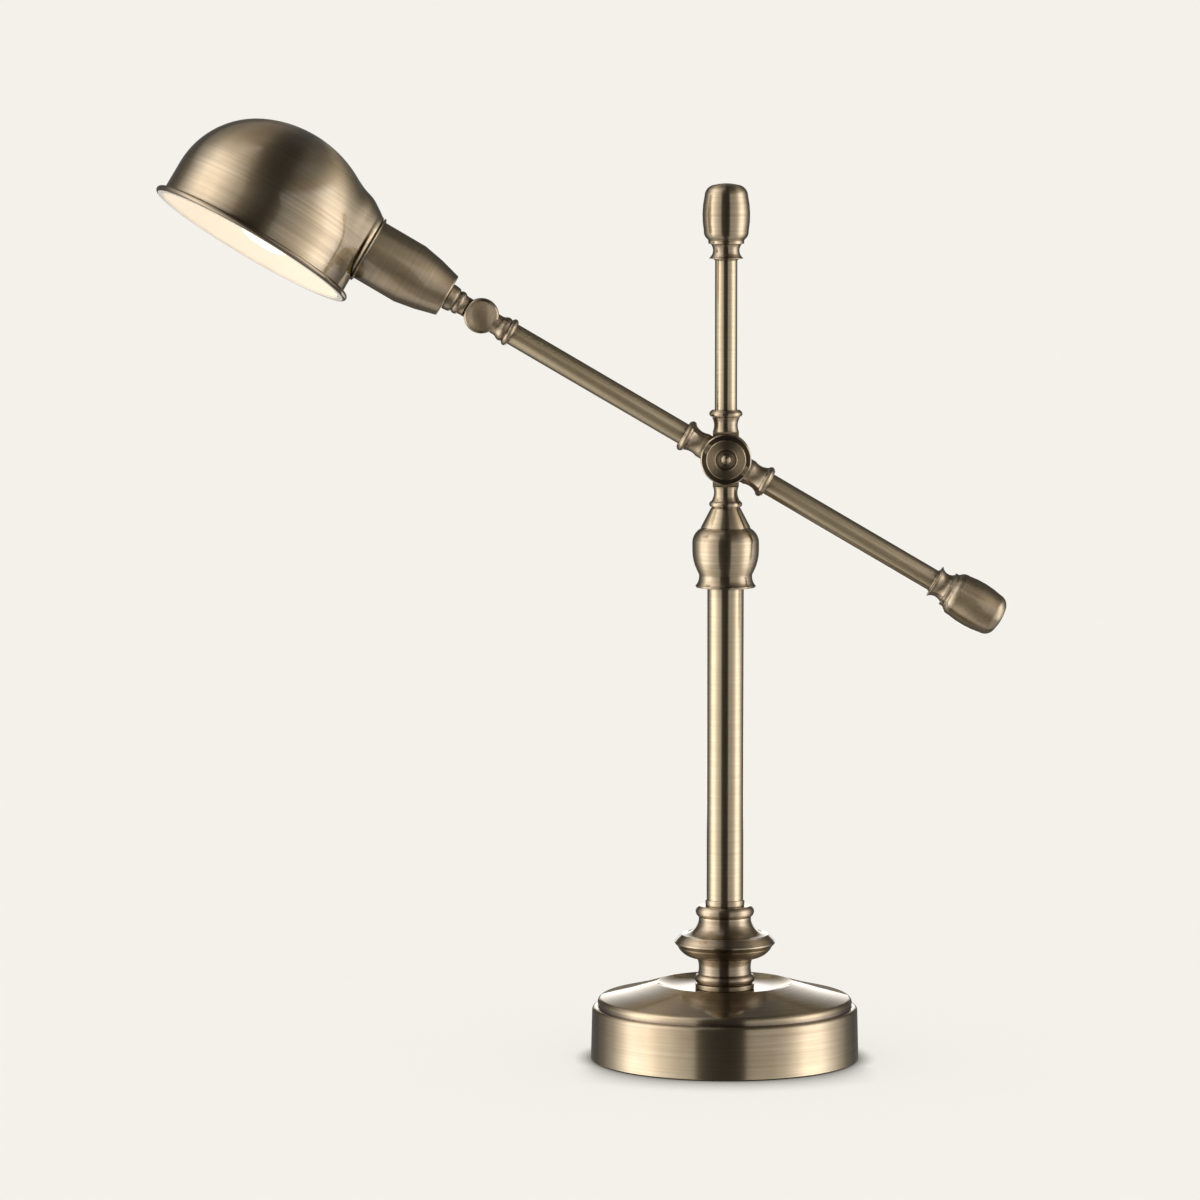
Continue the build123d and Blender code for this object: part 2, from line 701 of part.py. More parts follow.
def finial_neck(frame, start):
    """Turned neck with a thin lip and a ring, pushed into the end of a thin tube."""
    end = start + FINIAL_NECK_H
    points = [(0, start)] + shaped(finial_neck_shares, FINIAL_NECK_H, FINIAL_NECK_R, start) + [(0, end)]
    neck = turned(points) + rod(TUBE_R - TUBE_WALL - SLIP, start - SPIGOT_H, start + SPIGOT_H / 2)
    return frame * (neck - rod(FINIAL_STUD_R + SLIP, start - SPIGOT_H - CUT_OVER, end + CUT_OVER))


def finial_barrel(frame, start):
    """Barrel-shaped knob with a blind hole for its stud."""
    low = start + FINIAL_NECK_H
    barrel = turned([(0, low)] + shaped(barrel_shares, BARREL_H, BARREL_R, low))
    return frame * (barrel - rod(FINIAL_STUD_R + SLIP, low - CUT_OVER, low + FINIAL_STUD_IN))


def finial_stud(frame, start):
    """Threaded stud between a finial neck and its barrel."""
    return frame * rod(FINIAL_STUD_R, start - SPIGOT_H, start + FINIAL_NECK_H + FINIAL_STUD_IN - SLIP)


def knuckle_disc():
    """Half of the knuckle on the local Z side, with a rounded edge and a race for the lead."""
    blank = turned([
        (0, FACE_GAP / 2), (KNUCKLE_R, FACE_GAP / 2), (KNUCKLE_R, KNUCKLE_T - KNUCKLE_ROUND),
        (KNUCKLE_R - KNUCKLE_ROUND, KNUCKLE_T, quarter_round_share), (0, KNUCKLE_T),
    ])
    return blank - ring(KNUCKLE_RACE_R, KNUCKLE_RACE_IN_R, 0, KNUCKLE_RACE_DEPTH)


def knuckle_neck(outline_shares, reach, radius):
    """Neck of a knuckle half, from the tilt axis outwards along Z."""
    points = shaped(outline_shares, reach, radius)
    return turned([(0, 0), (points[0][0], 0)] + points + [(0, reach)])


def knuckle_room():
    """Room for the other half of the knuckle on the local Z side."""
    return rod(KNUCKLE_SADDLE_R, -FACE_GAP / 2, FAR)


def knuckle_middle():
    """Part of a neck that the disc of its own half takes the place of."""
    return rod(KNUCKLE_RACE_R, 0, FAR)


def knuckle_lead_way(reach):
    """Bore for the lead along a knuckle neck, ending in the race round the screw."""
    return rod(KNUCKLE_BORE_R, (KNUCKLE_RACE_R + KNUCKLE_RACE_IN_R) / 2, reach + CUT_OVER)


def knuckle_base():
    """Boom side of the knuckle: front half, double collar and a spigot in the front tube."""
    backwards = Rot(0, half_turn, 0)
    reach = KNUCKLE_BASE_REACH
    base = knuckle_neck(knuckle_base_shares, reach, KNUCKLE_BASE_R)
    base += rod(TUBE_R - TUBE_WALL - SLIP, reach - SPIGOT_H / 2, reach + SPIGOT_H)
    base = backwards * base - to_rear * knuckle_room() - to_front * knuckle_middle()
    base += to_front * knuckle_disc()
    base -= backwards * knuckle_lead_way(reach + SPIGOT_H)
    base -= to_front * rod(KNUCKLE_SCREW_R + SLIP, -CUT_OVER, KNUCKLE_SCREW_IN)
    return knuckle_frame * base


def knuckle_arm():
    """Head side of the knuckle: rear half and a neck with two rings, bored for the nipple."""
    reach = KNUCKLE_ARM_REACH
    arm = knuckle_neck(knuckle_arm_shares, reach, KNUCKLE_ARM_R)
    arm = arm - to_front * knuckle_room() - to_rear * knuckle_middle()
    arm += to_rear * knuckle_disc()
    arm -= knuckle_lead_way(reach)
    arm -= rod(NIPPLE_R + SLIP, reach - NIPPLE_IN_ARM, reach + CUT_OVER)
    arm -= to_rear * rod(KNUCKLE_SCREW_R + RUN, -CUT_OVER, KNUCKLE_T + CUT_OVER)
    return knuckle_frame * arm


def knuckle_washer():
    """Washer between the rear half of the knuckle and the screw's head."""
    low = KNUCKLE_T + FACE_GAP
    washer = ring(KNUCKLE_WASHER_R, KNUCKLE_SCREW_R + SLIP, low, low + KNUCKLE_WASHER_T)
    return knuckle_frame * to_rear * washer


def knuckle_screw():
    """Slotted screw from behind, threaded into the front half of the knuckle."""
    low = KNUCKLE_T + FACE_GAP + KNUCKLE_WASHER_T
    top = low + KNUCKLE_HEAD_H
    screw = turned([
        (0, SLIP - KNUCKLE_SCREW_IN), (KNUCKLE_SCREW_R, SLIP - KNUCKLE_SCREW_IN), (KNUCKLE_SCREW_R, low),
        (KNUCKLE_HEAD_R, low), (KNUCKLE_HEAD_R, low + KNUCKLE_HEAD_H / 2), (0, top, sphere_share),
    ])
    slot = Pos(0, 0, top) * Box(KNUCKLE_HEAD_R * 3, KNUCKLE_SLOT_W, KNUCKLE_SLOT_DEPTH * 2)
    return knuckle_frame * to_rear * (screw - slot)


def head_nipple_end():
    """Distance from the knuckle to the end of the nipple inside the cup."""
    return cup_at + CUP_FLOOR_T + FACE_GAP + HEAD_SPRING_T + HEAD_NUT_H + NIPPLE_END


def head_nipple():
    """Hollow threaded nipple that the socket cup turns on."""
    return knuckle_frame * ring(
        NIPPLE_R, NIPPLE_BORE_R, KNUCKLE_ARM_REACH - NIPPLE_IN_ARM + SLIP, head_nipple_end()
    )


def head_spring():
    """Spring washer inside the cup's floor."""
    low = cup_at + CUP_FLOOR_T + FACE_GAP
    return knuckle_frame * split_washer(HEAD_SPRING_R, NIPPLE_R + SLIP, low, low + HEAD_SPRING_T)


def head_nut():
    """Nut on the nipple inside the cup."""
    low = cup_at + CUP_FLOOR_T + FACE_GAP + HEAD_SPRING_T
    return knuckle_frame * hex_nut(HEAD_NUT_FLATS, NIPPLE_R + SLIP, low, low + HEAD_NUT_H)


def socket_cup():
    """Tapered cup over the socket, open towards the shade."""
    end = cup_at + CUP_L
    taper_end = cup_at + CUP_TAPER_L
    outer = turned([
        (0, cup_at), (CUP_SMALL_R - CUP_ROUND, cup_at),
        (CUP_SMALL_R, cup_at + CUP_ROUND, quarter_round_share),
        (CUP_R, taper_end, cup_taper_share), (CUP_R, end), (0, end),
    ])
    inner = turned([
        (0, cup_at + CUP_FLOOR_T), (CUP_SMALL_R - CUP_T, cup_at + CUP_FLOOR_T),
        (CUP_R - CUP_T, taper_end, cup_taper_share), (CUP_R - CUP_T, end + CUT_OVER), (0, end + CUT_OVER),
    ])
    hole = rod(NIPPLE_R + RUN, cup_at - CUT_OVER, cup_at + CUP_FLOOR_T + CUT_OVER)
    return head_frame * (outer - inner - hole)


def socket_body():
    """Insulating body of the socket, from the cup out into the shade's neck."""
    body = rod(SOCKET_R, socket_at, shade_ring_at)
    body += rod(SOCKET_NECK_R, shade_ring_at - CUT_OVER, socket_end_at)
    room_low = socket_at + SOCKET_FLOOR_T
    body -= rod(SCREW_SHELL_R + SLIP, room_low, socket_end_at + CUT_OVER)
    return head_frame * (body - rod(NIPPLE_BORE_R, socket_at - CUT_OVER, room_low + CUT_OVER))


def screw_shell():
    """Threaded metal shell that takes the bulb's cap."""
    low = socket_at + SOCKET_FLOOR_T
    return head_frame * ring(SCREW_SHELL_R, SCREW_SHELL_R - SCREW_SHELL_T, low, low + SCREW_SHELL_H)


def centre_contact():
    """Contact on the floor of the socket, under the bulb's tip."""
    low = socket_at + SOCKET_FLOOR_T
    return head_frame * rod(CONTACT_R, low, low + CONTACT_H)


def shade_ring():
    """Thin ring between the cup and the shade's neck."""
    middle = shade_ring_at + SHADE_RING_H / 2
    edge = SHADE_RING_R - SHADE_RING_STEP_R
    lip_r = SHADE_RING_R - edge * thin_ring_share
    end = shade_ring_at + SHADE_RING_H
    blank = turned([
        (0, shade_ring_at), (SHADE_RING_STEP_R, shade_ring_at), (SHADE_RING_STEP_R, middle - edge / 2),
        (lip_r, middle - edge / 2), (lip_r, middle + edge / 2, thin_ring_share),
        (SHADE_RING_STEP_R, middle + edge / 2), (SHADE_RING_STEP_R, end), (0, end),
    ])
    return head_frame * (blank - rod(SOCKET_NECK_R + SLIP, shade_ring_at - CUT_OVER, end + CUT_OVER))


def dome_outline(inset):
    """Wall, round side and crown of the dome, drawn in by an inset."""
    wall_r = DOME_R - inset
    rise = DOME_R * dome_rise_share - inset
    crown_r = DOME_R * crown_share - inset
    drop = crown_r - rise
    side_r = (wall_r ** 2 - rise ** 2 - 2 * drop * rise) / (2 * (wall_r - rise - drop))
    side_angle = math.atan2(drop, wall_r - side_r)
    meet_r = crown_r * math.cos(side_angle)
    meet_z = DOME_WALL_H - drop + crown_r * math.sin(side_angle)
    return [
        (wall_r, DOME_WALL_H),
        (meet_r, meet_z, math.tan(side_angle / 4) / 2),
        (0, DOME_WALL_H + rise, sphere_share),
    ]


def shade_form(inset, foot):
    """Filled form of the shade, rim at Z 0 and neck towards +X, drawn in by an inset."""
    dome = turned(foot + dome_outline(inset))
    neck_end = DOME_R + NECK_PROUD - inset
    neck_r = NECK_R - inset
    wide_r = neck_r + NECK_L * math.tan(math.radians(NECK_SLOPE))
    neck = Pos(neck_end, 0, NECK_AXIS_H) * Rot(0, -quarter_turn, 0) * turned([
        (0, 0), (neck_r, 0), (wide_r, NECK_L), (0, NECK_L),
    ])
    above_rim = Box(neck_end * 2, neck_end * 2, neck_end * 2, align=(Align.CENTER, Align.CENTER, Align.MIN))
    return dome + (neck & Pos(0, 0, RIM_BEAD_R) * above_rim)


def shade():
    """Spun dome shade with a rolled rim and a neck in its side."""
    bead_at = DOME_R + RIM_OUT - RIM_BEAD_R
    bead_h = RIM_BEAD_R * 2
    rim = [(0, 0), (bead_at, 0), (bead_at, bead_h, half_round_share), (DOME_R, bead_h)]
    mouth = [(0, -CUT_OVER), (DOME_R - SHADE_T, -CUT_OVER)]
    shell = shade_form(0, rim) - shade_form(SHADE_T, mouth)
    shell -= Pos(0, 0, NECK_AXIS_H) * Rot(0, quarter_turn, 0) * rod(SOCKET_NECK_R + SLIP, 0, FAR)
    return head_frame * Pos(-NECK_AXIS_H, 0, dome_axis_at) * Rot(0, quarter_turn, 0) * shell


def shade_lock_ring():
    """Ring on the socket inside the shade's neck, which clamps the shade."""
    low = shade_neck_at + SHADE_T
    return head_frame * ring(LOCK_RING_R, SOCKET_NECK_R + SLIP, low, low + LOCK_RING_H)


def bulb_cap():
    """Threaded metal cap of the bulb with its contact tip."""
    radius = SCREW_SHELL_R - SCREW_SHELL_T - SLIP
    tip = rod(BULB_TIP_R, bulb_cap_at - BULB_TIP_H, bulb_cap_at + BULB_TIP_H)
    return head_frame * (rod(radius, bulb_cap_at, bulb_glass_at) + tip)


def bulb_glass():
    """Pear-shaped glass of the bulb, a thin shell."""
    height = BULB_L - BULB_CAP_H - BULB_TIP_H
    outer = turned([(0, bulb_glass_at)] + shaped(bulb_shares, height, BULB_R, bulb_glass_at))
    inner_h = height - BULB_GLASS_T * 2
    inner_low = bulb_glass_at + BULB_GLASS_T
    inner = turned([(0, inner_low)] + shaped(bulb_shares, inner_h, BULB_R - BULB_GLASS_T, inner_low))
    return head_frame * (outer - inner)


def lamp():
    """Every piece of the lamp by name."""
    upwards = hub_frame
    rear_end = HUB_ARM_REACH + REAR_TUBE_L
    upper_end = HUB_ARM_REACH + UPPER_TUBE_L
    return {
        "felt_pad": felt_pad(),
        "base_weight": base_weight(),
        "base_cover": base_cover(),
        "cord_bushing": cord_bushing(),
        "base_washer": base_washer(),
        "base_nut": base_nut(),
        "stem_rod": stem_rod(),
        "spacer_ring": spacer_ring(),
        "lower_spool": lower_spool(),
        "stem_flange": stem_flange(),
        "collar_ring": collar_ring(),
        "tube_sleeve": tube_sleeve(),
        "column_tube": column_tube(),
        "column_foot_plug": column_foot_plug(),
        "vase": vase(),
        "vase_grub_screw": vase_grub_screw(),
        "swivel_washer": swivel_washer(),
        "swivel_stud": swivel_stud(),
        "swivel_spring": swivel_spring(),
        "swivel_nut": swivel_nut(),
        "cone_cap": cone_cap(),
        "post_hub": post_hub(),
        "upper_tube": thin_tube(upwards, UPPER_TUBE_L),
        "finial_neck": finial_neck(upwards, upper_end),
        "finial_stud": finial_stud(upwards, upper_end),
        "finial_barrel": finial_barrel(upwards, upper_end),
        "boom_hub": boom_hub(),
        "pivot_cap": pivot_cap(),
        "pivot_bolt": pivot_bolt(),
        "pivot_washer": pivot_washer(),
        "pivot_spring": pivot_spring(),
        "pivot_nut": pivot_nut(),
        "front_tube": thin_tube(boom_front_frame, FRONT_TUBE_L),
        "rear_tube": thin_tube(boom_rear_frame, REAR_TUBE_L),
        "counterweight_neck": finial_neck(boom_rear_frame, rear_end),
        "counterweight_stud": finial_stud(boom_rear_frame, rear_end),
        "counterweight_barrel": finial_barrel(boom_rear_frame, rear_end),
        "knuckle_base": knuckle_base(),
        "knuckle_screw": knuckle_screw(),
        "knuckle_washer": knuckle_washer(),
        "knuckle_arm": knuckle_arm(),
        "head_nipple": head_nipple(),
        "head_spring": head_spring(),
        "head_nut": head_nut(),
        "socket_cup": socket_cup(),
        "socket_body": socket_body(),
        "screw_shell": screw_shell(),
        "centre_contact": centre_contact(),
        "shade_ring": shade_ring(),
        "shade": shade(),
        "shade_lock_ring": shade_lock_ring(),
        "bulb_cap": bulb_cap(),
        "bulb_glass": bulb_glass(),
    }


def write_parts():
    """Write each piece to its own file."""
    os.makedirs("parts", exist_ok=True)
    for name, piece in lamp().items():
        export_step(piece, f"parts/{name}.step")


write_parts()
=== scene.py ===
import math

import bmesh
import bpy
from mathutils import Matrix, Vector


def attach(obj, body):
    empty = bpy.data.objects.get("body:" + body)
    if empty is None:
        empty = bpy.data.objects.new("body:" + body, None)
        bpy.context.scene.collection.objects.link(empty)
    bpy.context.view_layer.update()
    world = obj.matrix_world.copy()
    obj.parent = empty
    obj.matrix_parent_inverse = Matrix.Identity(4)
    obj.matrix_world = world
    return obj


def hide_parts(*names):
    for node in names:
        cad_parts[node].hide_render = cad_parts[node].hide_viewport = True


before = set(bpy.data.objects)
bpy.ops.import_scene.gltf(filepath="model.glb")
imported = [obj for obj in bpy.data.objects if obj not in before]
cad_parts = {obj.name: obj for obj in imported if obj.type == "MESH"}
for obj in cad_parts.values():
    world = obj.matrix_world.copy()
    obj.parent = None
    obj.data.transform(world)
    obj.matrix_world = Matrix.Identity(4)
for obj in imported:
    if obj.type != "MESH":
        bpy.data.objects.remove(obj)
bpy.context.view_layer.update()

# Boom arm desk lamp in antique brass. Lengths in the tables are in millimetres.
# Every turned piece is made again from its outline, with small rounded corners, because the
# CAD meshes have sharp edges and no directions for the brushed finish to follow.

MM = 0.001
AROUND = 160          # faces round a turned piece
SHADE_AROUND = 256
SHADE_DOWN = 144
ARC_STEP = 6.0                         # degrees of an outline's arc in one step
CORNER = 0.3                           # rounding of a turned piece's corners
CORNER_STEPS = 3
NEAR_CORNER = 2.2                      # reach along the outline of dirt and rubbed metal round a corner
GAP = 0.06                             # of a cut face from the plane that it turns on

# Places of the joints and slopes, as in the CAD
HUB_Z = 381.7
BOOM_SLOPE = 30.4
KNUCKLE_AT = 178.2
HEAD_ROLL = 11.5
HUB_REACH = 30.9
SADDLE = 17.3
KNUCKLE_SADDLE = 11.3
NECK_AT = 83.2                         # along the head, where the shade's neck ends


def srgb(text):
    """Linear colour of an sRGB hex text."""
    values = []
    for i in (0, 2, 4):
        part = int(text[i:i + 2], 16) / 255
        values.append(part / 12.92 if part <= 0.04045 else ((part + 0.055) / 1.055) ** 2.4)
    return (*values, 1.0)


def turn(axis, degrees):
    """Rotation about a row axis."""
    return Matrix.Rotation(math.radians(degrees), 4, axis)


def shift(x, y, z):
    """Move in millimetres."""
    return Matrix.Translation((x, y, z))


IDENTITY = Matrix.Identity(4)
HUB = shift(0, 0, HUB_Z)
BOOM_FRONT = HUB @ turn("Y", BOOM_SLOPE - 90)
BOOM_REAR = HUB @ turn("Y", BOOM_SLOPE + 90)
KNUCKLE = BOOM_FRONT @ shift(0, 0, KNUCKLE_AT)
HEAD = KNUCKLE @ turn("Z", HEAD_ROLL)
TO_FRONT = turn("X", 90)
TO_REAR = turn("X", -90)
BACKWARDS = turn("Y", 180)


# Outlines

def arc_points(start, end, bulge):
    """Points along an arc that bulges to the right of its way by a share of its chord."""
    (r0, z0), (r1, z1) = start, end
    chord = math.dist(start, end)
    if abs(bulge) < 0.002 or chord == 0:
        return [end]
    sweep = 4 * math.atan(2 * bulge)
    steps = max(2, math.ceil(abs(math.degrees(sweep)) / ARC_STEP))
    across, up = (r1 - r0) / chord, (z1 - z0) / chord
    depth = chord / 2 / math.tan(sweep / 2)
    centre = ((r0 + r1) / 2 - up * depth, (z0 + z1) / 2 + across * depth)
    points = []
    for k in range(1, steps + 1):
        a = sweep * k / steps
        dx, dz = r0 - centre[0], z0 - centre[1]
        points.append((
            centre[0] + dx * math.cos(a) - dz * math.sin(a),
            centre[1] + dx * math.sin(a) + dz * math.cos(a),
        ))
    points[-1] = end
    return points


def crown_points(start, end):
    """Points of a sphere's arc that ends on the axis."""
    rise = end[1] - start[1]
    radius = (start[0] ** 2 + rise ** 2) / (2 * rise)
    half = math.asin(min(1, start[0] / abs(radius)))
    steps = max(3, math.ceil(math.degrees(half) / ARC_STEP))
    points = []
    for k in range(1, steps + 1):
        a = half * (1 - k / steps)
        points.append((radius * math.sin(a), end[1] - radius + radius * math.cos(a)))
    return points


def rounded(points, corner):
    """The outline with its sharp corners rounded off."""
    made = [points[0]]
    for before, here, after in zip(points, points[1:], points[2:]):
        len_in, len_out = math.dist(before, here), math.dist(here, after)
        if len_in < 1e-6 or len_out < 1e-6:
            continue
        way_in = ((here[0] - before[0]) / len_in, (here[1] - before[1]) / len_in)
        way_out = ((after[0] - here[0]) / len_out, (after[1] - here[1]) / len_out)
        bend = math.degrees(math.acos(max(-1, min(1, way_in[0] * way_out[0] + way_in[1] * way_out[1]))))
        reach = min(corner, len_in * 0.42, len_out * 0.42)
        if bend < 16 or here[0] < reach:
            made.append(here)
            continue
        first = (here[0] - way_in[0] * reach, here[1] - way_in[1] * reach)
        last = (here[0] + way_out[0] * reach, here[1] + way_out[1] * reach)
        for k in range(CORNER_STEPS + 1):
            t = k / CORNER_STEPS
            made.append(tuple(
                first[i] * (1 - t) ** 2 + here[i] * 2 * t * (1 - t) + last[i] * t ** 2 for i in (0, 1)
            ))
    made.append(points[-1])
    return made


def outline(rows, corner=CORNER):
    """Fine points of an outline of (radius, height) or (radius, height, bulge) rows."""
    points = [tuple(rows[0][:2])]
    for row in rows[1:]:
        end = tuple(row[:2])
        if len(row) == 3 and end[0] == 0:
            points += crown_points(points[-1], end)
        elif len(row) == 3:
            points += arc_points(points[-1], end, row[2])
        else:
            points.append(end)
    return rounded(points, corner)


def shares(table, height, radius, start=0.0):
    """Rows of an outline given as shares of a height and a radius."""
    return [(row[1] * radius, start + row[0] * height, *row[2:]) for row in table]


def corner_marks(points):
    """For each point, how hollow and how sharp the outline is near it, from 0 to 1."""
    along = [0.0]
    for a, b in zip(points, points[1:]):
        along.append(along[-1] + math.dist(a, b))
    bends = [0.0]
    for a, b, c in zip(points, points[1:], points[2:]):
        first = math.atan2(b[1] - a[1], b[0] - a[0])
        second = math.atan2(c[1] - b[1], c[0] - b[0])
        bends.append((second - first + math.pi) % (2 * math.pi) - math.pi)
    bends.append(0.0)
    hollow, sharp = [], []
    for s in along:
        dirt = rub = 0.0
        for t, bend in zip(along, bends):
            share = max(0.0, 1 - abs(s - t) / NEAR_CORNER)
            if bend < 0:
                dirt -= bend * share ** 2
            else:
                rub += bend * max(0.0, 1 - abs(s - t) / (NEAR_CORNER / 3))
        hollow.append(min(1.0, dirt * 0.7))
        sharp.append(min(1.0, rub * 0.6))
    return along, hollow, sharp


# Meshes

def new_mesh_object(name, vertices, faces, uvs, marks, material_ids, place):
    """Object of a mesh in millimetres, with brush directions, moved by a matrix."""
    mesh = bpy.data.meshes.new(name)
    mesh.from_pydata([place @ Vector(v) * MM for v in vertices], [], faces)
    mesh.polygons.foreach_set("use_smooth", [True] * len(mesh.polygons))
    layer = mesh.uv_layers.new(name="brush_uv")
    values = []
    for face in uvs:
        for uv in face:
            values += uv
    layer.data.foreach_set("uv", values)
    for key, column in marks.items():
        size = "FLOAT_VECTOR" if isinstance(column[0], tuple) else "FLOAT"
        attribute = mesh.attributes.new(key, size, "POINT")
        if size == "FLOAT":
            attribute.data.foreach_set("value", column)
        else:
            attribute.data.foreach_set("vector", [part for row in column for part in row])
    mesh.polygons.foreach_set("material_index", material_ids)
    mesh.update()
    mesh.set_sharp_from_angle(angle=math.radians(38))
    obj = bpy.data.objects.new(name, mesh)
    bpy.context.scene.collection.objects.link(obj)
    return obj


def lathe_data(points, half_below=None, straight_from=None, around=None):
    """Vertices, faces and the rest of a turned form.

    Below half_below only its +Y half is kept. Faces from the height straight_from on are brushed
    in straight lines along X.
    """
    around = around or AROUND
    along, hollow, sharp = corner_marks(points)
    vertices, marks, faces, uvs = [], {"brush": [], "hollow": [], "sharp": []}, [], []
    rings = []
    for (r, z), s, dirt, rub in zip(points, along, hollow, sharp):
        ring = []
        for k in range(1 if r < 1e-6 else around):
            a = 2 * math.pi * k / around
            ring.append(len(vertices))
            x, y = r * math.cos(a), r * math.sin(a)
            if half_below is not None and z < half_below - 1e-6:
                y = max(y, GAP)
            vertices.append((x, y, z))
            wide = max(r, 3.0)
            if straight_from is not None and z >= straight_from:
                marks["brush"].append((x * MM, 0.0, y * MM))
            else:
                marks["brush"].append((math.cos(a) * wide * MM, math.sin(a) * wide * MM, s * MM))
            marks["hollow"].append(dirt)
            marks["sharp"].append(rub)
        rings.append(ring)
    for i, (low, high) in enumerate(zip(rings, rings[1:])):
        gone = half_below is not None and max(points[i][1], points[i + 1][1]) <= half_below + 1e-6
        straight = straight_from is not None and min(points[i][1], points[i + 1][1]) >= straight_from
        begin = len(faces)
        for k in range(around):
            if gone and k >= around // 2:
                continue
            nxt = (k + 1) % around
            u0, u1 = k / around, (k + 1) / around
            s0, s1 = along[i] * MM, along[i + 1] * MM
            if len(low) == 1 and len(high) == 1:
                continue
            if len(low) == 1:
                faces.append((low[0], high[nxt], high[k]))
                uvs.append(((s0, u0), (s1, u1), (s1, u0)))
            elif len(high) == 1:
                faces.append((low[k], low[nxt], high[0]))
                uvs.append(((s0, u0), (s0, u1), (s1, u0)))
            else:
                faces.append((low[k], low[nxt], high[nxt], high[k]))
                uvs.append(((s0, u0), (s0, u1), (s1, u1), (s1, u0)))
        if straight:
            uvs[begin:] = [tuple((vertices[v][1] * MM, vertices[v][0] * MM) for v in face) for face in faces[begin:]]
    if half_below is not None:
        at = [i for i, p in enumerate(points) if p[1] <= half_below + 1e-6]
        top = at[-1]
        cap = [rings[top][k] for k in range(around // 2, around)] + [rings[top][0]]
        faces.append(tuple(reversed(cap)))
        uvs.append(tuple((0.0, 0.0) for _ in cap))
        one = [rings[i][0] for i in at]
        two = [rings[i][around // 2] if len(rings[i]) > 1 else rings[i][0] for i in reversed(at)]
        side = one + [v for v in two if v != one[-1] and v != one[0]]
        faces.append(tuple(side))
        uvs.append(tuple((0.0, 0.0) for _ in side))
    return vertices, faces, uvs, marks


def lathe(name, rows, body, nodes, place=IDENTITY, corner=CORNER, **more):
    """One turned piece that stands for CAD nodes."""
    return group(name, [(rows, place, corner, more)], body, nodes)


def group(name, forms, body, nodes, material="brass"):
    """A piece of one or more turned forms: (rows, place, corner, more for lathe_data)."""
    vertices, faces, uvs = [], [], []
    marks = {"brush": [], "hollow": [], "sharp": []}
    for rows, place, corner, more in forms:
        points = outline(rows, corner)
        v, f, u, m = lathe_data(points, **more)
        start = len(vertices)
        vertices += [tuple(place @ Vector(p)) for p in v]
        faces += [tuple(i + start for i in face) for face in f]
        uvs += u
        for key in marks:
            marks[key] += m[key]
    obj = new_mesh_object(name, vertices, faces, uvs, marks, [0] * len(faces), IDENTITY)
    return finish_piece(obj, body, nodes, ["cast_brass" if nodes[0] in CAST_NODES else material])


def finish_piece(obj, body, nodes, materials):
    """Gives a piece its materials and body, and hides the CAD nodes that it stands for."""
    for key in materials:
        obj.data.materials.append(MATERIALS[key])
    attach(obj, body)
    if nodes:
        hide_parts(*nodes)
    return obj


# Materials

def add(tree, kind, inputs=None, **settings):
    """Adds a node, sets its properties, and joins or sets its inputs."""
    node = tree.nodes.new(kind)
    for key, value in settings.items():
        setattr(node, key, value)
    for key, value in (inputs or {}).items():
        if isinstance(value, bpy.types.NodeSocket):
            tree.links.new(value, node.inputs[key])
        else:
            node.inputs[key].default_value = value
    return node


def new_material(name):
    """Material with an empty tree, and its tree and surface shader."""
    material = bpy.data.materials.new(name)
    material.use_nodes = True
    tree = material.node_tree
    tree.nodes.clear()
    shader = add(tree, "ShaderNodeBsdfPrincipled")
    add(tree, "ShaderNodeOutputMaterial", {"Surface": shader.outputs["BSDF"]})
    return material, tree, shader


def ramp(tree, value, low, high, to_low, to_high):
    """Value mapped from one range to another, held at the ends."""
    node = add(tree, "ShaderNodeMapRange", {
        "Value": value, "From Min": low, "From Max": high, "To Min": to_low, "To Max": to_high,
    })
    return node.outputs["Result"]


def mix_colour(tree, factor, one, two, blend="MIX"):
    """Mix of two colours, each a colour or a socket."""
    node = add(tree, "ShaderNodeMix", {0: factor, 6: one, 7: two}, data_type="RGBA", blend_type=blend)
    return node.outputs[2]


def noise(tree, vector, scale, detail=2.0, rough=0.5):
    """Noise from -0.5 to 0.5 about 0.5 at a scale per metre."""
    node = add(tree, "ShaderNodeTexNoise", {"Vector": vector, "Scale": scale, "Detail": detail, "Roughness": rough})
    return node.outputs["Fac"]


def stretched(tree, vector, around, along):
    """Vector scaled per metre round the piece and along its outline."""
    node = add(tree, "ShaderNodeVectorMath", {0: vector, 1: (around, around, along)}, operation="MULTIPLY")
    return node.outputs["Vector"]


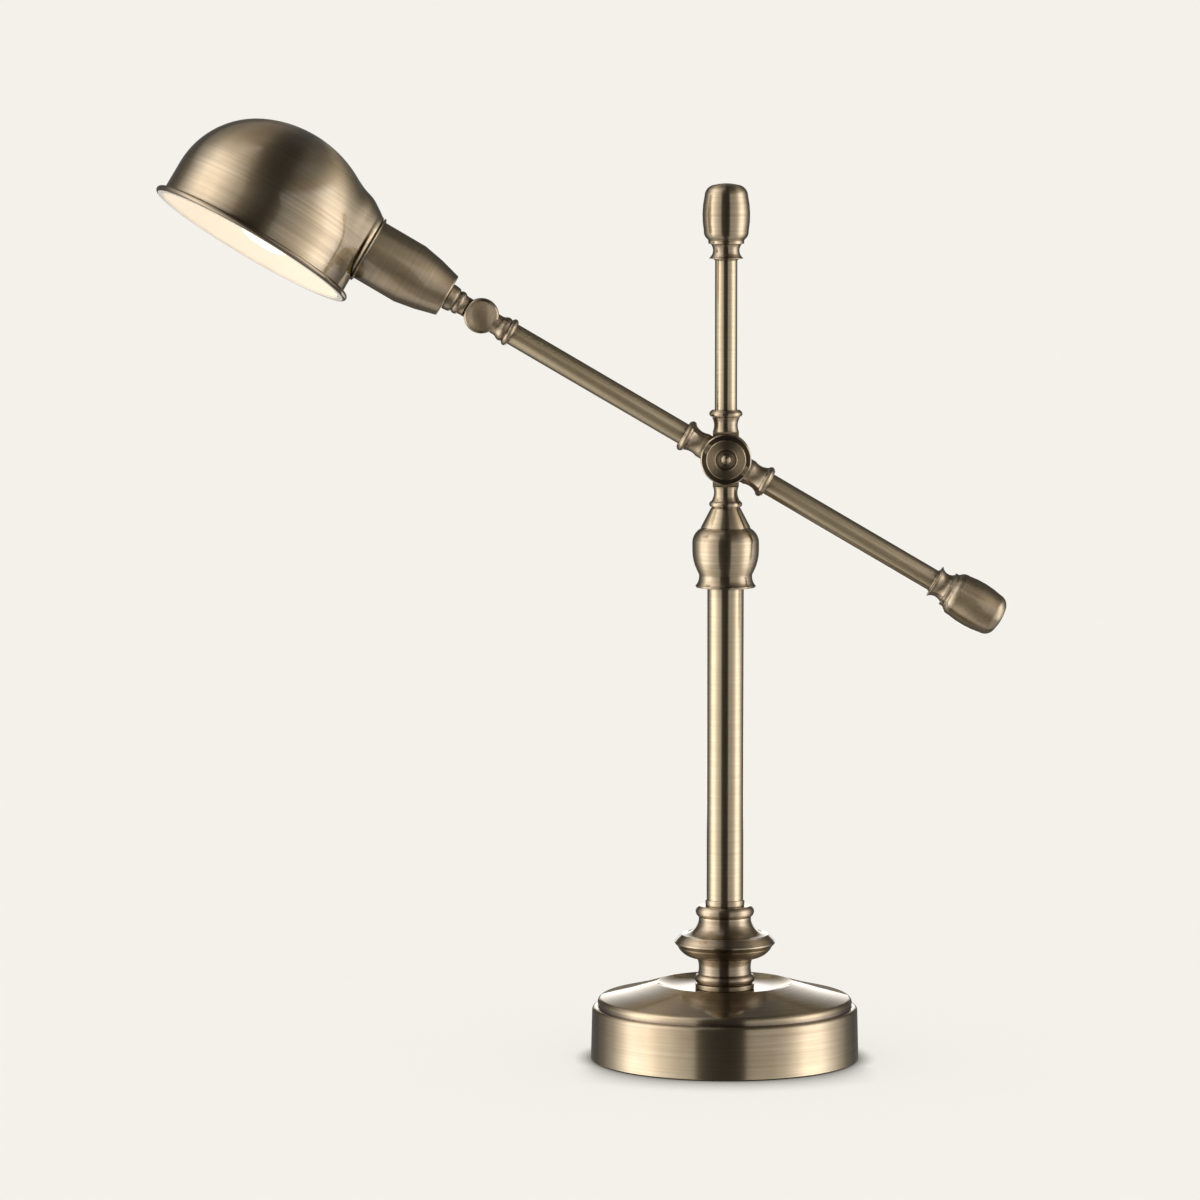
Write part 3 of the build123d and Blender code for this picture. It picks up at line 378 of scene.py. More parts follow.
def antique_brass(name, light, dark, streak):
    """Lathe-brushed brass, antiqued in its hollows and lacquered, in two tones and a streak's.

    It shows fine rings round each piece, highlights drawn out across them, brown in hollows
    and brighter metal on sharp edges.
    """
    material, tree, shader = new_material(name)
    brush = add(tree, "ShaderNodeAttribute", attribute_name="brush").outputs["Vector"]
    hollow = add(tree, "ShaderNodeAttribute", attribute_name="hollow").outputs["Fac"]
    sharp = add(tree, "ShaderNodeAttribute", attribute_name="sharp").outputs["Fac"]
    fine = noise(tree, stretched(tree, brush, 18, 1000), 1.0, 0.0)
    bands = noise(tree, stretched(tree, brush, 10, 680), 1.0, 1.0, 0.5)
    clouds = noise(tree, brush, 45.0, 3.0)
    base = mix_colour(tree, ramp(tree, clouds, 0.35, 0.65, 0, 1), srgb(light), srgb(dark))
    base = mix_colour(tree, ramp(tree, bands, 0.35, 0.7, 0, 0.27), base, srgb(streak))
    base = mix_colour(tree, ramp(tree, fine, 0.35, 0.7, 0, 0.12), base, srgb("5C4B33"))
    dirt = add(tree, "ShaderNodeMath", {0: hollow, 1: ramp(tree, clouds, 0.3, 0.7, 0.6, 1.0)}, operation="MULTIPLY")
    base = mix_colour(tree, dirt.outputs[0], base, srgb("433223"))
    base = mix_colour(tree, ramp(tree, sharp, 0.1, 1.0, 0, 0.5), base, srgb("A4967A"))
    rough = add(tree, "ShaderNodeMath", {
        0: ramp(tree, bands, 0.3, 0.7, 0.29, 0.35), 1: ramp(tree, fine, 0.3, 0.7, -0.02, 0.02),
    }, operation="ADD")
    bump = add(tree, "ShaderNodeBump", {"Height": bands, "Strength": 0.1, "Distance": 0.00004})
    tangent = add(tree, "ShaderNodeTangent", direction_type="UV_MAP", uv_map="brush_uv")
    for key, value in {
        "Base Color": base, "Roughness": rough.outputs[0], "Normal": bump.outputs["Normal"],
        "Tangent": tangent.outputs[0],
    }.items():
        tree.links.new(value, shader.inputs[key])
    shader.inputs["Metallic"].default_value = 1.0
    shader.inputs["Anisotropic"].default_value = 0.98
    shader.inputs["Specular Tint"].default_value = srgb("A89878")
    shader.inputs["Coat Weight"].default_value = 1.0
    shader.inputs["Coat Roughness"].default_value = 0.06
    return material


def metal(name, light, dark, roughness, grain):
    """Plain metal with a mottled colour and a fine uneven grain of so many marks per metre."""
    material, tree, shader = new_material(name)
    place = add(tree, "ShaderNodeTexCoord").outputs["Object"]
    mottle = noise(tree, place, 180.0, 4.0, 0.6)
    marks = noise(tree, place, grain, 3.0)
    base = mix_colour(tree, ramp(tree, mottle, 0.3, 0.7, 0, 1), srgb(light), srgb(dark))
    rough = ramp(tree, marks, 0.3, 0.7, roughness - 0.06, roughness + 0.08)
    bump = add(tree, "ShaderNodeBump", {"Height": marks, "Strength": 0.2, "Distance": 0.00003})
    tree.links.new(base, shader.inputs["Base Color"])
    tree.links.new(rough, shader.inputs["Roughness"])
    tree.links.new(bump.outputs["Normal"], shader.inputs["Normal"])
    shader.inputs["Metallic"].default_value = 1.0
    return material


def moulded(name, light, dark, roughness, grain, depth):
    """Surface that isn't metal, with a mottled colour and a grain of so many marks per metre."""
    material, tree, shader = new_material(name)
    place = add(tree, "ShaderNodeTexCoord").outputs["Object"]
    mottle = noise(tree, place, grain / 6, 4.0, 0.6)
    marks = noise(tree, place, grain, 3.0, 0.6)
    base = mix_colour(tree, ramp(tree, mottle, 0.3, 0.7, 0, 1), srgb(light), srgb(dark))
    rough = ramp(tree, marks, 0.3, 0.7, roughness - 0.06, roughness + 0.06)
    bump = add(tree, "ShaderNodeBump", {"Height": marks, "Strength": 0.5, "Distance": depth})
    tree.links.new(base, shader.inputs["Base Color"])
    tree.links.new(rough, shader.inputs["Roughness"])
    tree.links.new(bump.outputs["Normal"], shader.inputs["Normal"])
    return material


def cream_enamel():
    """Cream-white stoved enamel inside the shade, glossy, with a faint orange-peel surface."""
    material, tree, shader = new_material("cream_enamel")
    place = add(tree, "ShaderNodeTexCoord").outputs["Object"]
    peel = noise(tree, place, 900.0, 2.0)
    tone = noise(tree, place, 30.0, 2.0)
    base = mix_colour(tree, ramp(tree, tone, 0.3, 0.7, 0, 1), srgb("F7F3EB"), srgb("F4EFE5"))
    bump = add(tree, "ShaderNodeBump", {"Height": peel, "Strength": 0.05, "Distance": 0.00002})
    tree.links.new(base, shader.inputs["Base Color"])
    tree.links.new(bump.outputs["Normal"], shader.inputs["Normal"])
    shader.inputs["Roughness"].default_value = 0.3
    return material


def lit_glass():
    """Frosted glass of the lit bulb, in two warm tones mottled at random."""
    material, tree, shader = new_material("lit_bulb_glass")
    place = add(tree, "ShaderNodeTexCoord").outputs["Object"]
    frost = noise(tree, place, 2500.0, 2.0)
    tone = noise(tree, place, 60.0, 2.0)
    glow = mix_colour(tree, ramp(tree, tone, 0.3, 0.7, 0, 1), srgb("FFE9D2"), srgb("FFE4C8"))
    bump = add(tree, "ShaderNodeBump", {"Height": frost, "Strength": 0.2, "Distance": 0.00002})
    tree.links.new(glow, shader.inputs["Emission Color"])
    tree.links.new(bump.outputs["Normal"], shader.inputs["Normal"])
    shader.inputs["Base Color"].default_value = srgb("F8F4EA")
    shader.inputs["Roughness"].default_value = 0.45
    shader.inputs["Emission Strength"].default_value = BULB_GLOW
    return material


BULB_GLOW = 1.12
MATERIALS = {
    "brass": antique_brass("antique_brass", "918269", "8A785E", "6A573F"),
    "cast_brass": antique_brass("cast_antique_brass", "918068", "85745C", "66543C"),
    "steel": metal("zinc_plated_steel", "B4B2AC", "8E8C88", 0.36, 3000),
    "iron": moulded("raw_cast_iron", "3A3836", "24211F", 0.75, 1400, 0.0002),
    "felt": moulded("pressed_felt", "24261F", "15160F", 0.95, 5000, 0.0003),
    "fibre": moulded("pressed_fibre", "5A4030", "46301F", 0.7, 4000, 0.00008),
    "plastic": moulded("black_nylon", "1B1A19", "100F0F", 0.42, 2600, 0.00003),
    "porcelain": moulded("white_porcelain", "EDE8DC", "E2DBCB", 0.4, 800, 0.00004),
    "plain_brass": metal("plain_brass", "D8B778", "B8924E", 0.28, 2200),
    "aluminium": metal("bulb_aluminium", "D2D2D0", "B2B2B0", 0.3, 2600),
    "glass": lit_glass(),
    "enamel": cream_enamel(),
}
# Cast pieces, a little browner and darker than the tubes and the spun shells
CAST_NODES = {
    "lower_spool", "stem_flange", "collar_ring", "post_hub", "boom_hub", "pivot_cap", "pivot_bolt",
    "finial_neck", "counterweight_neck", "knuckle_base", "knuckle_arm",
}

# CAD nodes that stay as they are, inside the lamp or under it
for node_name, key in {
    "base_weight": "iron", "base_washer": "steel", "base_nut": "steel",
    "stem_rod": "steel", "column_foot_plug": "steel", "vase_grub_screw": "steel",
    "swivel_washer": "fibre", "swivel_stud": "steel", "swivel_spring": "steel",
    "swivel_nut": "steel", "finial_stud": "steel", "counterweight_stud": "steel",
    "pivot_washer": "fibre", "pivot_spring": "steel", "knuckle_washer": "fibre",
    "head_nipple": "steel", "head_spring": "steel", "head_nut": "steel",
    "socket_body": "porcelain", "screw_shell": "plain_brass", "centre_contact": "plain_brass",
    "shade_lock_ring": "porcelain", "felt_pad": "felt", "cord_bushing": "plastic",
    "pivot_nut": "steel", "knuckle_screw": "steel", "bulb_cap": "aluminium",
}.items():
    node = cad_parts[node_name]
    node.data.materials.clear()
    node.data.materials.append(MATERIALS[key])


# Base and foot
lathe("base_cover_visual", [
    (83.8, 44.0 - 34.0), (83.8, 0.8), (85.0, 0.8), (84.2, 31.3), (81.8, 33.7, 0.2071), (80.6, 33.7),
    (80.6, 35.5), (78.4, 39.4, 0.2), (43.0, 49.0, -0.012), (25.0, 45.0, -0.06), (5.05, 45.0), (5.05, 44.0),
], "base", ["base_cover"])
lathe("spacer_ring_visual", [
    (5.05, 45), (17.9, 45), (18.7, 45.8, 0.2071), (18.7, 47.5), (17.9, 48.3, 0.2071), (5.05, 48.3),
], "base", ["spacer_ring"])

SPOOL = ((0.0, 0.89), (0.37, 0.905, 0.30), (0.39, 0.885), (1.0, 0.93, -0.085))
FLANGE = (
    (0.0, 0.56), (0.235, 0.925, 0.135), (0.262, 0.93), (0.345, 0.992), (0.37, 1.0, 0.2),
    (0.395, 0.993, 0.2), (0.55, 0.88, 0.03), (0.572, 0.86, 0.15), (0.9, 0.52, -0.17), (1.0, 0.52),
)
COLLAR = ((0.0, 0.892), (0.98, 0.90, 0.27), (1.0, 0.88))
VASE = (
    (0.0, 0.868), (0.012, 0.878, 0.3), (0.04, 0.868, 0.3), (0.205, 0.79, -0.10), (0.222, 0.80),
    (0.62, 0.985, 0.065), (0.74, 0.985), (0.985, 0.735, 0.135), (1.0, 0.72),
)
HUB_ARM = ((0.52, 0.79), (0.85, 0.855, -0.125), (0.862, 0.885), (0.985, 0.885, 0.33), (1.0, 0.87))
FINIAL_NECK = (
    (0.0, 0.66), (0.055, 0.68), (0.09, 0.93), (0.125, 0.93, 0.4), (0.83, 0.88, -0.22),
    (0.84, 0.97), (0.87, 1.0, 0.2), (0.97, 1.0), (1.0, 0.97, 0.2),
)
BARREL = (
    (0.0, 0.79), (0.02, 0.81), (0.17, 0.975, 0.13), (0.78, 0.945, 0.05), (0.975, 0.5, 0.19), (1.0, 0.0, 1),
)
KNUCKLE_BASE = (
    (0.42, 0.70), (0.63, 0.78, -0.09), (0.81, 0.80, 0.16), (0.83, 0.86), (0.985, 0.87, 0.32), (1.0, 0.84),
)
KNUCKLE_ARM = (
    (0.42, 0.73), (0.575, 0.76, -0.05), (0.75, 0.80, 0.22), (0.765, 0.83), (0.80, 0.93, 0.1),
    (0.95, 0.99, 0.03), (1.0, 0.93, 0.2),
)
BULB = (
    (0.0, 0.435), (0.12, 0.47, -0.03), (0.38, 0.86, -0.06), (0.66, 0.99, 0.11), (0.87, 0.76, 0.125), (1.0, 0.0, 1),
)


def bored(table, height, radius, low, bore):
    """Closed outline of a turned piece with a bore through it."""
    rows = shares(table, height, radius, low)
    return [(bore, low), *rows, (bore, low + height), (bore, low)]


lathe("lower_spool_visual", bored(SPOOL, 16.6, 19.15, 48.3, 5.05), "base", ["lower_spool"])
lathe("stem_flange_visual", bored(FLANGE, 26.1, 31.8, 64.9, 5.05), "base", ["stem_flange"])
lathe("collar_ring_visual", [
    (5.05, 91.0), *shares(COLLAR, 7.1, 18.6, 91.0), (11.65, 98.1), (11.65, 94.2), (5.05, 94.2), (5.05, 91.0),
], "base", ["collar_ring"])
lathe("tube_sleeve_visual", [
    (11.65, 98.1), (12.05, 98.1), (12.35, 98.4, 0.2071), (12.35, 101.6), (12.05, 101.9, 0.2071),
    (11.65, 101.9), (11.65, 98.1),
], "base", ["tube_sleeve"])
lathe("column_tube_visual", [
    (10.4, 94.2), (11.6, 94.2), (11.6, 316.0), (10.4, 316.0), (10.4, 94.2),
], "base", ["column_tube"])
lathe("vase_visual", [
    (11.65, 300.7), *shares(VASE, 37.7, 21.5, 300.7), (5.08, 338.4), (5.08, 333.4), (10.4, 333.4),
    (11.65, 316.0), (11.65, 300.7),
], "base", ["vase"])

# Post
lathe("cone_cap_visual", [
    (10.55, 338.5), (15.75, 338.5), (9.3, 350.8), (5.05, 350.8), (5.05, 340.0), (10.55, 340.0), (10.55, 338.5),
], "post", ["cone_cap"])


def hub_neck(spigot=True):
    """Outline of a hub neck from inside the coin to the end of its spigot."""
    arm = shares(HUB_ARM, HUB_REACH, 10.4)
    rows = [(0, 6.0), (arm[0][0], 6.0), (arm[0][0], SADDLE), *arm[1:]]
    if spigot:
        return [*rows, (5.95, HUB_REACH), (5.95, HUB_REACH + 9.0), (0, HUB_REACH + 9.0)]
    return [*rows, (5.05, HUB_REACH), (5.05, HUB_REACH - 6), (0, HUB_REACH - 6)]


def coin_rows(thickness, lip):
    """Outline of a coin half, with a raised rim on its face if it has one."""
    rows = [(3.08, 0.05), (16.0, 0.05), (16.0, thickness - 0.6), (15.4, thickness)]
    if lip:
        rows += [(15.1, thickness), (15.1, thickness - lip)]
    return [*rows, (3.08, thickness - lip), (3.08, 0.05)]


up_neck = (hub_neck(), HUB @ turn("Z", 0), CORNER, {"half_below": SADDLE})
down_neck = (hub_neck(False), HUB @ turn("Y", 180), CORNER, {"half_below": SADDLE})
group("post_hub_visual", [
    up_neck, down_neck, (coin_rows(9.6, 0), HUB @ TO_REAR, CORNER, {}),
], "post", ["post_hub"])
group("boom_hub_visual", [
    (hub_neck(), BOOM_FRONT @ turn("Z", 180), CORNER, {"half_below": SADDLE}),
    (hub_neck(), BOOM_REAR @ turn("Z", 180), CORNER, {"half_below": SADDLE}),
    (coin_rows(8.3, 0.7), HUB @ TO_FRONT, 0.15, {}),
], "boom", ["boom_hub"])
lathe("pivot_cap_visual", [
    (3.05, 7.6), (12.5, 7.6), (12.5, 9.6), (11.8, 10.3, 0.2071), (7.05, 10.3), (6.7, 9.95), (6.7, 8.5),
    (3.05, 8.5), (3.05, 7.6),
], "boom", ["pivot_cap"], HUB @ TO_FRONT, 0.2)
lathe("pivot_bolt_visual", [
    (0, -15.0), (3.0, -15.0), (3.0, 8.5), (3.6, 8.5), (0, 10.6, 1),
], "boom", ["pivot_bolt"], HUB @ TO_FRONT, 0.1)

for name, place, low, length, body in (
    ("upper_tube", HUB, HUB_REACH, 94.1, "post"),
    ("front_tube", BOOM_FRONT, HUB_REACH, 124.6, "boom"),
    ("rear_tube", BOOM_REAR, HUB_REACH, 120.8, "boom"),
):
    lathe(name + "_visual", [
        (6.0, low), (7.0, low), (7.0, low + length), (6.0, low + length), (6.0, low),
    ], body, [name], place, 0.2)

for prefix, place, low, long, body in (
    ("finial", HUB, HUB_REACH + 94.1, 35.8, "post"),
    ("counterweight", BOOM_REAR, HUB_REACH + 120.8, 37.4, "boom"),
):
    end = low + 12.4
    lathe(prefix + "_neck_visual", [
        (3.05, low - 9), (5.95, low - 9), (5.95, low), *shares(FINIAL_NECK, 12.4, 11.3, low),
        (3.05, end), (3.05, low - 9),
    ], body, [prefix + "_neck"], place)
    lathe(prefix + "_barrel_visual", [
        (3.05, end + 14.0), (3.05, end), *shares(BARREL, long, 14.45, end),
    ], body, [prefix + "_barrel"], place)


# Knuckle
def knuckle_rows():
    """Outline of half of the knuckle, nearly flat outside with a rounded edge."""
    return [(1.95, 0.05), (11.0, 0.05), (11.0, 4.4), (9.4, 6.1, 0.17), (0, 8.0, 1)]


def knuckle_neck(table, reach, radius, end_rows):
    """Outline of a knuckle's neck from inside its disc outwards."""
    arm = shares(table, reach, radius)
    return [(0, 4.0), (arm[0][0], 4.0), (arm[0][0], KNUCKLE_SADDLE), *arm[1:], *end_rows]


group("knuckle_base_visual", [
    (knuckle_neck(KNUCKLE_BASE, 22.7, 9.3, [(5.95, 22.7), (5.95, 31.7), (0, 31.7)]),
     KNUCKLE @ BACKWARDS @ turn("Z", 180), CORNER, {"half_below": KNUCKLE_SADDLE}),
    (knuckle_rows(), KNUCKLE @ TO_FRONT, CORNER, {"straight_from": 6.1}),
], "boom", ["knuckle_base"])
group("knuckle_arm_visual", [
    (knuckle_neck(KNUCKLE_ARM, 24.5, 8.6, [(4.05, 24.5), (4.05, 15.0), (0, 15.0)]),
     KNUCKLE, CORNER, {"half_below": KNUCKLE_SADDLE}),
    ([(1.95, 0.05), (11.0, 0.05), (11.0, 4.5), (8.6, 6.9, 0.2071), (2.0, 6.9), (2.0, 5.0)],
     KNUCKLE @ TO_REAR, CORNER, {}),
], "knuckle", ["knuckle_arm"])

# Head
lathe("socket_cup_visual", [
    (4.08, 24.6), (13.0, 24.6), (14.2, 25.8, 0.2071), (20.0, 51.9, 0.02), (20.0, 80.9), (18.8, 80.9),
    (18.8, 51.9), (13.0, 26.6, -0.02), (4.08, 26.6), (4.08, 24.6),
], "head", ["socket_cup"], HEAD)
lathe("shade_ring_visual", [
    (17.25, 80.9), (20.6, 80.9), (20.6, 81.35), (21.58, 81.35), (21.58, 82.75, 0.3), (20.6, 82.75),
    (20.6, 83.2), (17.25, 83.2), (17.25, 80.9),
], "head", ["shade_ring"], HEAD, 0.12)

DOME_R, WALL_H, DOME_H, CROWN_R = 64.3, 23.0, 80.5, 75.0
NECK_H, NECK_END, NECK_R, NECK_SLOPE = 35.8, 63.8, 21.6, 26.7
SHADE_T, NECK_ROOT, SOCKET_HOLE_R = 1.0, 33.0, 17.3
RIM_R, BEAD_R = 68.6, 1.8
BLEND = 12.0                           # reach of the soft hollow between dome and neck
BLEND_STARTS = (38.0, 55.0)            # along the neck's axis, where the hollow grows
BLEND_ENDS = 4.0                       # before the neck's end, where it runs out
SHADE_ROLL = -1.7                      # of the shade from the solid's place, about the head's axis
HEAD_TO_SHADE = HEAD @ turn("Z", SHADE_ROLL) @ shift(-NECK_H, 0, NECK_AT + NECK_END) @ turn("Y", 90)
# The skin round the neck, on a grid of its own that laps over the dome's
PATCH_R = 30.0
PATCH_LAP = 1.6
PATCH_PROUD = 0.05
PATCH_ROWS = 20
STREAK_R = 50.0                        # size at which the brushed streaks are laid round the dome


def smooth_share(value, low, high):
    """Share from 0 to 1, with soft ends, of the way from low to high."""
    t = max(0.0, min(1.0, (value - low) / (high - low)))
    return t * t * (3 - 2 * t)


def dome_distance(r, z):
    """Signed distance, in millimetres, from the dome's outline."""
    rise = DOME_H - WALL_H
    drop = CROWN_R - rise
    side_r = (DOME_R ** 2 - rise ** 2 - 2 * drop * rise) / (2 * (DOME_R - rise - drop))
    from_wall = DOME_R - side_r
    angle = math.atan2(drop, from_wall)
    if z <= WALL_H:
        return r - DOME_R
    height = z - WALL_H
    if math.atan2(height + drop, r) > angle:
        return math.hypot(r, height + drop) - CROWN_R
    return math.hypot(r - from_wall, height) - side_r


def neck_distance(x, across):
    """Signed distance from the cone of the neck."""
    slope = math.radians(NECK_SLOPE)
    return (across - NECK_R - (NECK_END - x) * math.tan(slope)) * math.cos(slope)


def shade_distance(x, y, z):
    """Signed distance from the dome and the neck, joined with a soft hollow."""
    dome = dome_distance(math.hypot(x, y), z)
    if x < NECK_ROOT:
        return dome
    neck = neck_distance(x, math.hypot(y, z - NECK_H))
    share = max(0.0, BLEND - abs(dome - neck)) / BLEND
    share *= smooth_share(x, *BLEND_STARTS) * smooth_share(NECK_END - x, 0, BLEND_ENDS)
    return min(dome, neck) - share ** 2 * BLEND / 4


def skin_at(place, near, far, inset=0.0):
    """Where, between two distances, a line of places leaves the shade's form."""
    for _ in range(24):
        middle = (near + far) / 2
        if shade_distance(*place(middle)) < -inset:
            near = middle
        else:
            far = middle
    return near


def streak_marks(x, y, z):
    """Brush vector and brush UV at a place on the shade, which is spun about its own Z."""
    a = math.atan2(y, x)
    polar = math.atan2(math.hypot(x, y), z - NECK_H)
    brush = (math.cos(a) * STREAK_R * MM, math.sin(a) * STREAK_R * MM, polar * DOME_R * MM)
    return brush, (polar * DOME_R * MM, a / (2 * math.pi))


def patch_reach(y, z):
    """How far from the neck's axis its own skin reaches in a direction, at most to the rim's bead."""
    down = max((NECK_H - z) / max(math.hypot(y, z - NECK_H), 1e-6), 1e-3)
    return min(PATCH_R, (NECK_H - BEAD_R * 2 - PATCH_PROUD) / down)


def dome_skin(inset):
    """Vertices and faces of the outer or inner skin. The outer one leaves out the neck."""
    end = NECK_END - inset
    foot_z, foot_r = (BEAD_R * 2, DOME_R) if inset == 0 else (0.6, DOME_R - inset)
    edge = math.atan2(NECK_H - foot_z, foot_r) + math.pi / 2
    vertices, faces = [], []
    for j in range(SHADE_DOWN + 1):
        polar = edge * j / SHADE_DOWN
        for k in range(SHADE_AROUND):
            a = 2 * math.pi * k / SHADE_AROUND
            way = (math.sin(polar) * math.cos(a), math.sin(polar) * math.sin(a), math.cos(polar))
            reach = skin_at(lambda t: (way[0] * t, way[1] * t, NECK_H + way[2] * t), 20.0, 110.0, inset)
            if way[0] * reach > end:
                reach = end / way[0]
            vertices.append((way[0] * reach, way[1] * reach, NECK_H + way[2] * reach))
    for j in range(SHADE_DOWN):
        for k in range(SHADE_AROUND):
            nxt = (k + 1) % SHADE_AROUND
            one, two = j * SHADE_AROUND, (j + 1) * SHADE_AROUND
            face = (one + k, two + k, two + nxt, one + nxt)
            corners = [vertices[i] for i in face]
            from_axis = [math.hypot(y, z - NECK_H) for x, y, z in corners]
            if inset == 0:
                gone = all(x > 0 and r < patch_reach(y, z) - PATCH_LAP for (x, y, z), r in zip(corners, from_axis))
            else:
                gone = all(x > end - 0.01 and r < SOCKET_HOLE_R for (x, y, z), r in zip(corners, from_axis))
            if not gone:
                faces.append(face if inset == 0 else tuple(reversed(face)))
    return vertices, faces


def neck_skin():
    """Vertices and faces of the neck's end and of the skin round it."""
    ends = [
        (SOCKET_HOLE_R, NECK_END - SHADE_T), (SOCKET_HOLE_R, NECK_END), (NECK_R - 0.3, NECK_END),
        (NECK_R - 0.12, NECK_END - 0.04), (NECK_R + 0.02, NECK_END - 0.14),
    ]
    first_r = NECK_R + 0.15
    vertices, faces = [], []
    for i in range(len(ends) + PATCH_ROWS + 1):
        for k in range(SHADE_AROUND):
            a = 2 * math.pi * k / SHADE_AROUND
            y, z = math.cos(a), math.sin(a)
            if i < len(ends):
                r, x = ends[i]
            else:
                share = ((i - len(ends)) / PATCH_ROWS) ** 1.5
                r = first_r + (patch_reach(y, NECK_H + z) - first_r) * share
                x = skin_at(lambda t: (t, y * r, NECK_H + z * r), 20.0, NECK_END + 4) + PATCH_PROUD * share
            vertices.append((x, y * r, NECK_H + z * r))
    for i in range(len(ends) + PATCH_ROWS):
        for k in range(SHADE_AROUND):
            nxt = (k + 1) % SHADE_AROUND
            one, two = i * SHADE_AROUND, (i + 1) * SHADE_AROUND
            faces.append((one + k, two + k, two + nxt, one + nxt))
    return vertices, faces


def shade_piece():
    """Dome with a soft-edged neck: brass skin, enamelled inner skin, rolled rim."""
    vertices, faces, uvs, ids = [], [], [], []
    marks = {"brush": [], "hollow": [], "sharp": []}
    for (skin, skin_faces), material in ((dome_skin(0.0), 0), (neck_skin(), 0), (dome_skin(SHADE_T), 1)):
        first = len(vertices)
        vertices += skin
        streaks = [streak_marks(*place) for place in skin]
        marks["brush"] += [brush for brush, uv in streaks]
        marks["hollow"] += [0.0] * len(skin)
        marks["sharp"] += [0.0] * len(skin)
        for face in skin_faces:
            corners = [streaks[i][1] for i in face]
            turns = [v for u, v in corners]
            # The face over the seam behind the dome is kept whole
            if max(turns) - min(turns) > 0.5:
                corners = [(u, v + 1 if v < 0 else v) for u, v in corners]
            uvs.append(tuple(corners))
            faces.append(tuple(i + first for i in face))
            ids.append(material)
    bead_h = BEAD_R * 2
    rim_rows = [
        (DOME_R - 0.05, bead_h + 0.3), (DOME_R + 0.4, bead_h), (RIM_R - BEAD_R, bead_h),
        (RIM_R - BEAD_R, 0, -0.5), (DOME_R - SHADE_T, 0.0), (DOME_R - SHADE_T, 0.9),
    ]
    v, f, u, m = lathe_data(outline(rim_rows, 0.25), around=SHADE_AROUND)
    first = len(vertices)
    vertices += v
    faces += [tuple(reversed([i + first for i in face])) for face in f]
    uvs += [tuple(reversed(row)) for row in u]
    for key in marks:
        marks[key] += m[key]
    # Enamel on the rim's flat underside, up to the bead
    flat_r = RIM_R - BEAD_R + 0.05
    ids += [int(all(math.hypot(v[i][0], v[i][1]) < flat_r and v[i][2] < 0.95 for i in face)) for face in f]
    obj = new_mesh_object("shade_visual", vertices, faces, uvs, marks, ids, HEAD_TO_SHADE)
    return finish_piece(obj, "head", ["shade"], ["brass", "enamel"])


shade_piece()
BULB_LEAN = -2.3                       # of the bulb in its holder, towards the rim
glass_low = 51.9 + 12.0 + 1.2 + 2.0 + 25.0
group("bulb_glass_visual", [
    ([(0, 0), *shares(BULB, 80.0, 30.0)], HEAD @ shift(0, 0, glass_low) @ turn("Y", BULB_LEAN), CORNER, {}),
], "head", ["bulb_glass"], "glass")


# Stage, light and camera

def world_light():
    """Pale background for the camera, a photo studio for glossy and transmission rays, and plain white light for all
    else.

    The studio is a dark gap at the camera between two soft boxes, the left one taller, under a
    dark ceiling.
    """
    world = bpy.data.worlds.new("studio")
    world.use_nodes = True
    tree = world.node_tree
    tree.nodes.clear()
    way = add(tree, "ShaderNodeTexCoord").outputs["Generated"]
    parts = add(tree, "ShaderNodeSeparateXYZ", {0: way}).outputs

    def calc(operation, one, two=0.0):
        return add(tree, "ShaderNodeMath", {0: one, 1: two}, operation=operation).outputs[0]

    # From 0 to 1 round the lamp from behind it, left first, with the camera's direction at the middle
    around = calc("ARCTAN2", parts[0], calc("MULTIPLY", parts[1], -1.0))
    around = calc("ADD", calc("DIVIDE", around, 2 * math.pi), 0.5)
    height = calc("MULTIPLY", calc("ARCSINE", parts[2]), 180 / math.pi)

    def curve(rows):
        node = add(tree, "ShaderNodeFloatCurve", {"Value": around})
        points = node.mapping.curves[0].points
        places = [((a + 180) / 360, v / BRIGHTEST) for a, v in rows]
        points[0].location, points[1].location = places[0], places[-1]
        for place in places[1:-1]:
            points.new(*place)
        for point in points:
            point.handle_type = "VECTOR"
        node.mapping.update()
        return calc("MULTIPLY", node.outputs[0], BRIGHTEST)

    light = mix_value(tree, ramp(tree, height, *TABLE_EDGE, 0.0, 1.0), curve(TABLE_LIGHT), curve(WALL_LIGHT))
    light = mix_value(tree, ramp(tree, height, *LOW_BOX_EDGE, 0.0, 1.0), light, curve(UPPER_LIGHT))
    light = mix_value(tree, ramp(tree, height, *HIGH_BOX_EDGE, 0.0, 1.0), light, curve(CEILING_LIGHT))
    studio = add(tree, "ShaderNodeVectorMath", {0: srgb(STUDIO_TINT)[:3], "Scale": light}, operation="SCALE").outputs[0]
    ray = add(tree, "ShaderNodeLightPath").outputs
    mirrored = calc("MAXIMUM", ray["Is Glossy Ray"], ray["Is Transmission Ray"])
    colour = mix_colour(tree, mirrored, PLAIN_LIGHT, studio)
    colour = mix_colour(tree, ray["Is Camera Ray"], colour, BACKGROUND)
    back = add(tree, "ShaderNodeBackground", {"Color": colour, "Strength": 1.0})
    add(tree, "ShaderNodeOutputWorld", {"Surface": back.outputs[0]})
    # Every ray finds the world by itself, so that each kind of ray sees its own part of it
    world.cycles.sampling_method = "NONE"
    bpy.context.scene.world = world


def mix_value(tree, factor, one, two):
    """Mix of two numbers."""
    return add(tree, "ShaderNodeMix", {0: factor, 2: one, 3: two}, data_type="FLOAT").outputs[0]


BACKGROUND = srgb("F4F1EB")
PLAIN_LIGHT = srgb("FFFFFF")
STUDIO_TINT = "FFFEFC"
BRIGHTEST = 6.0
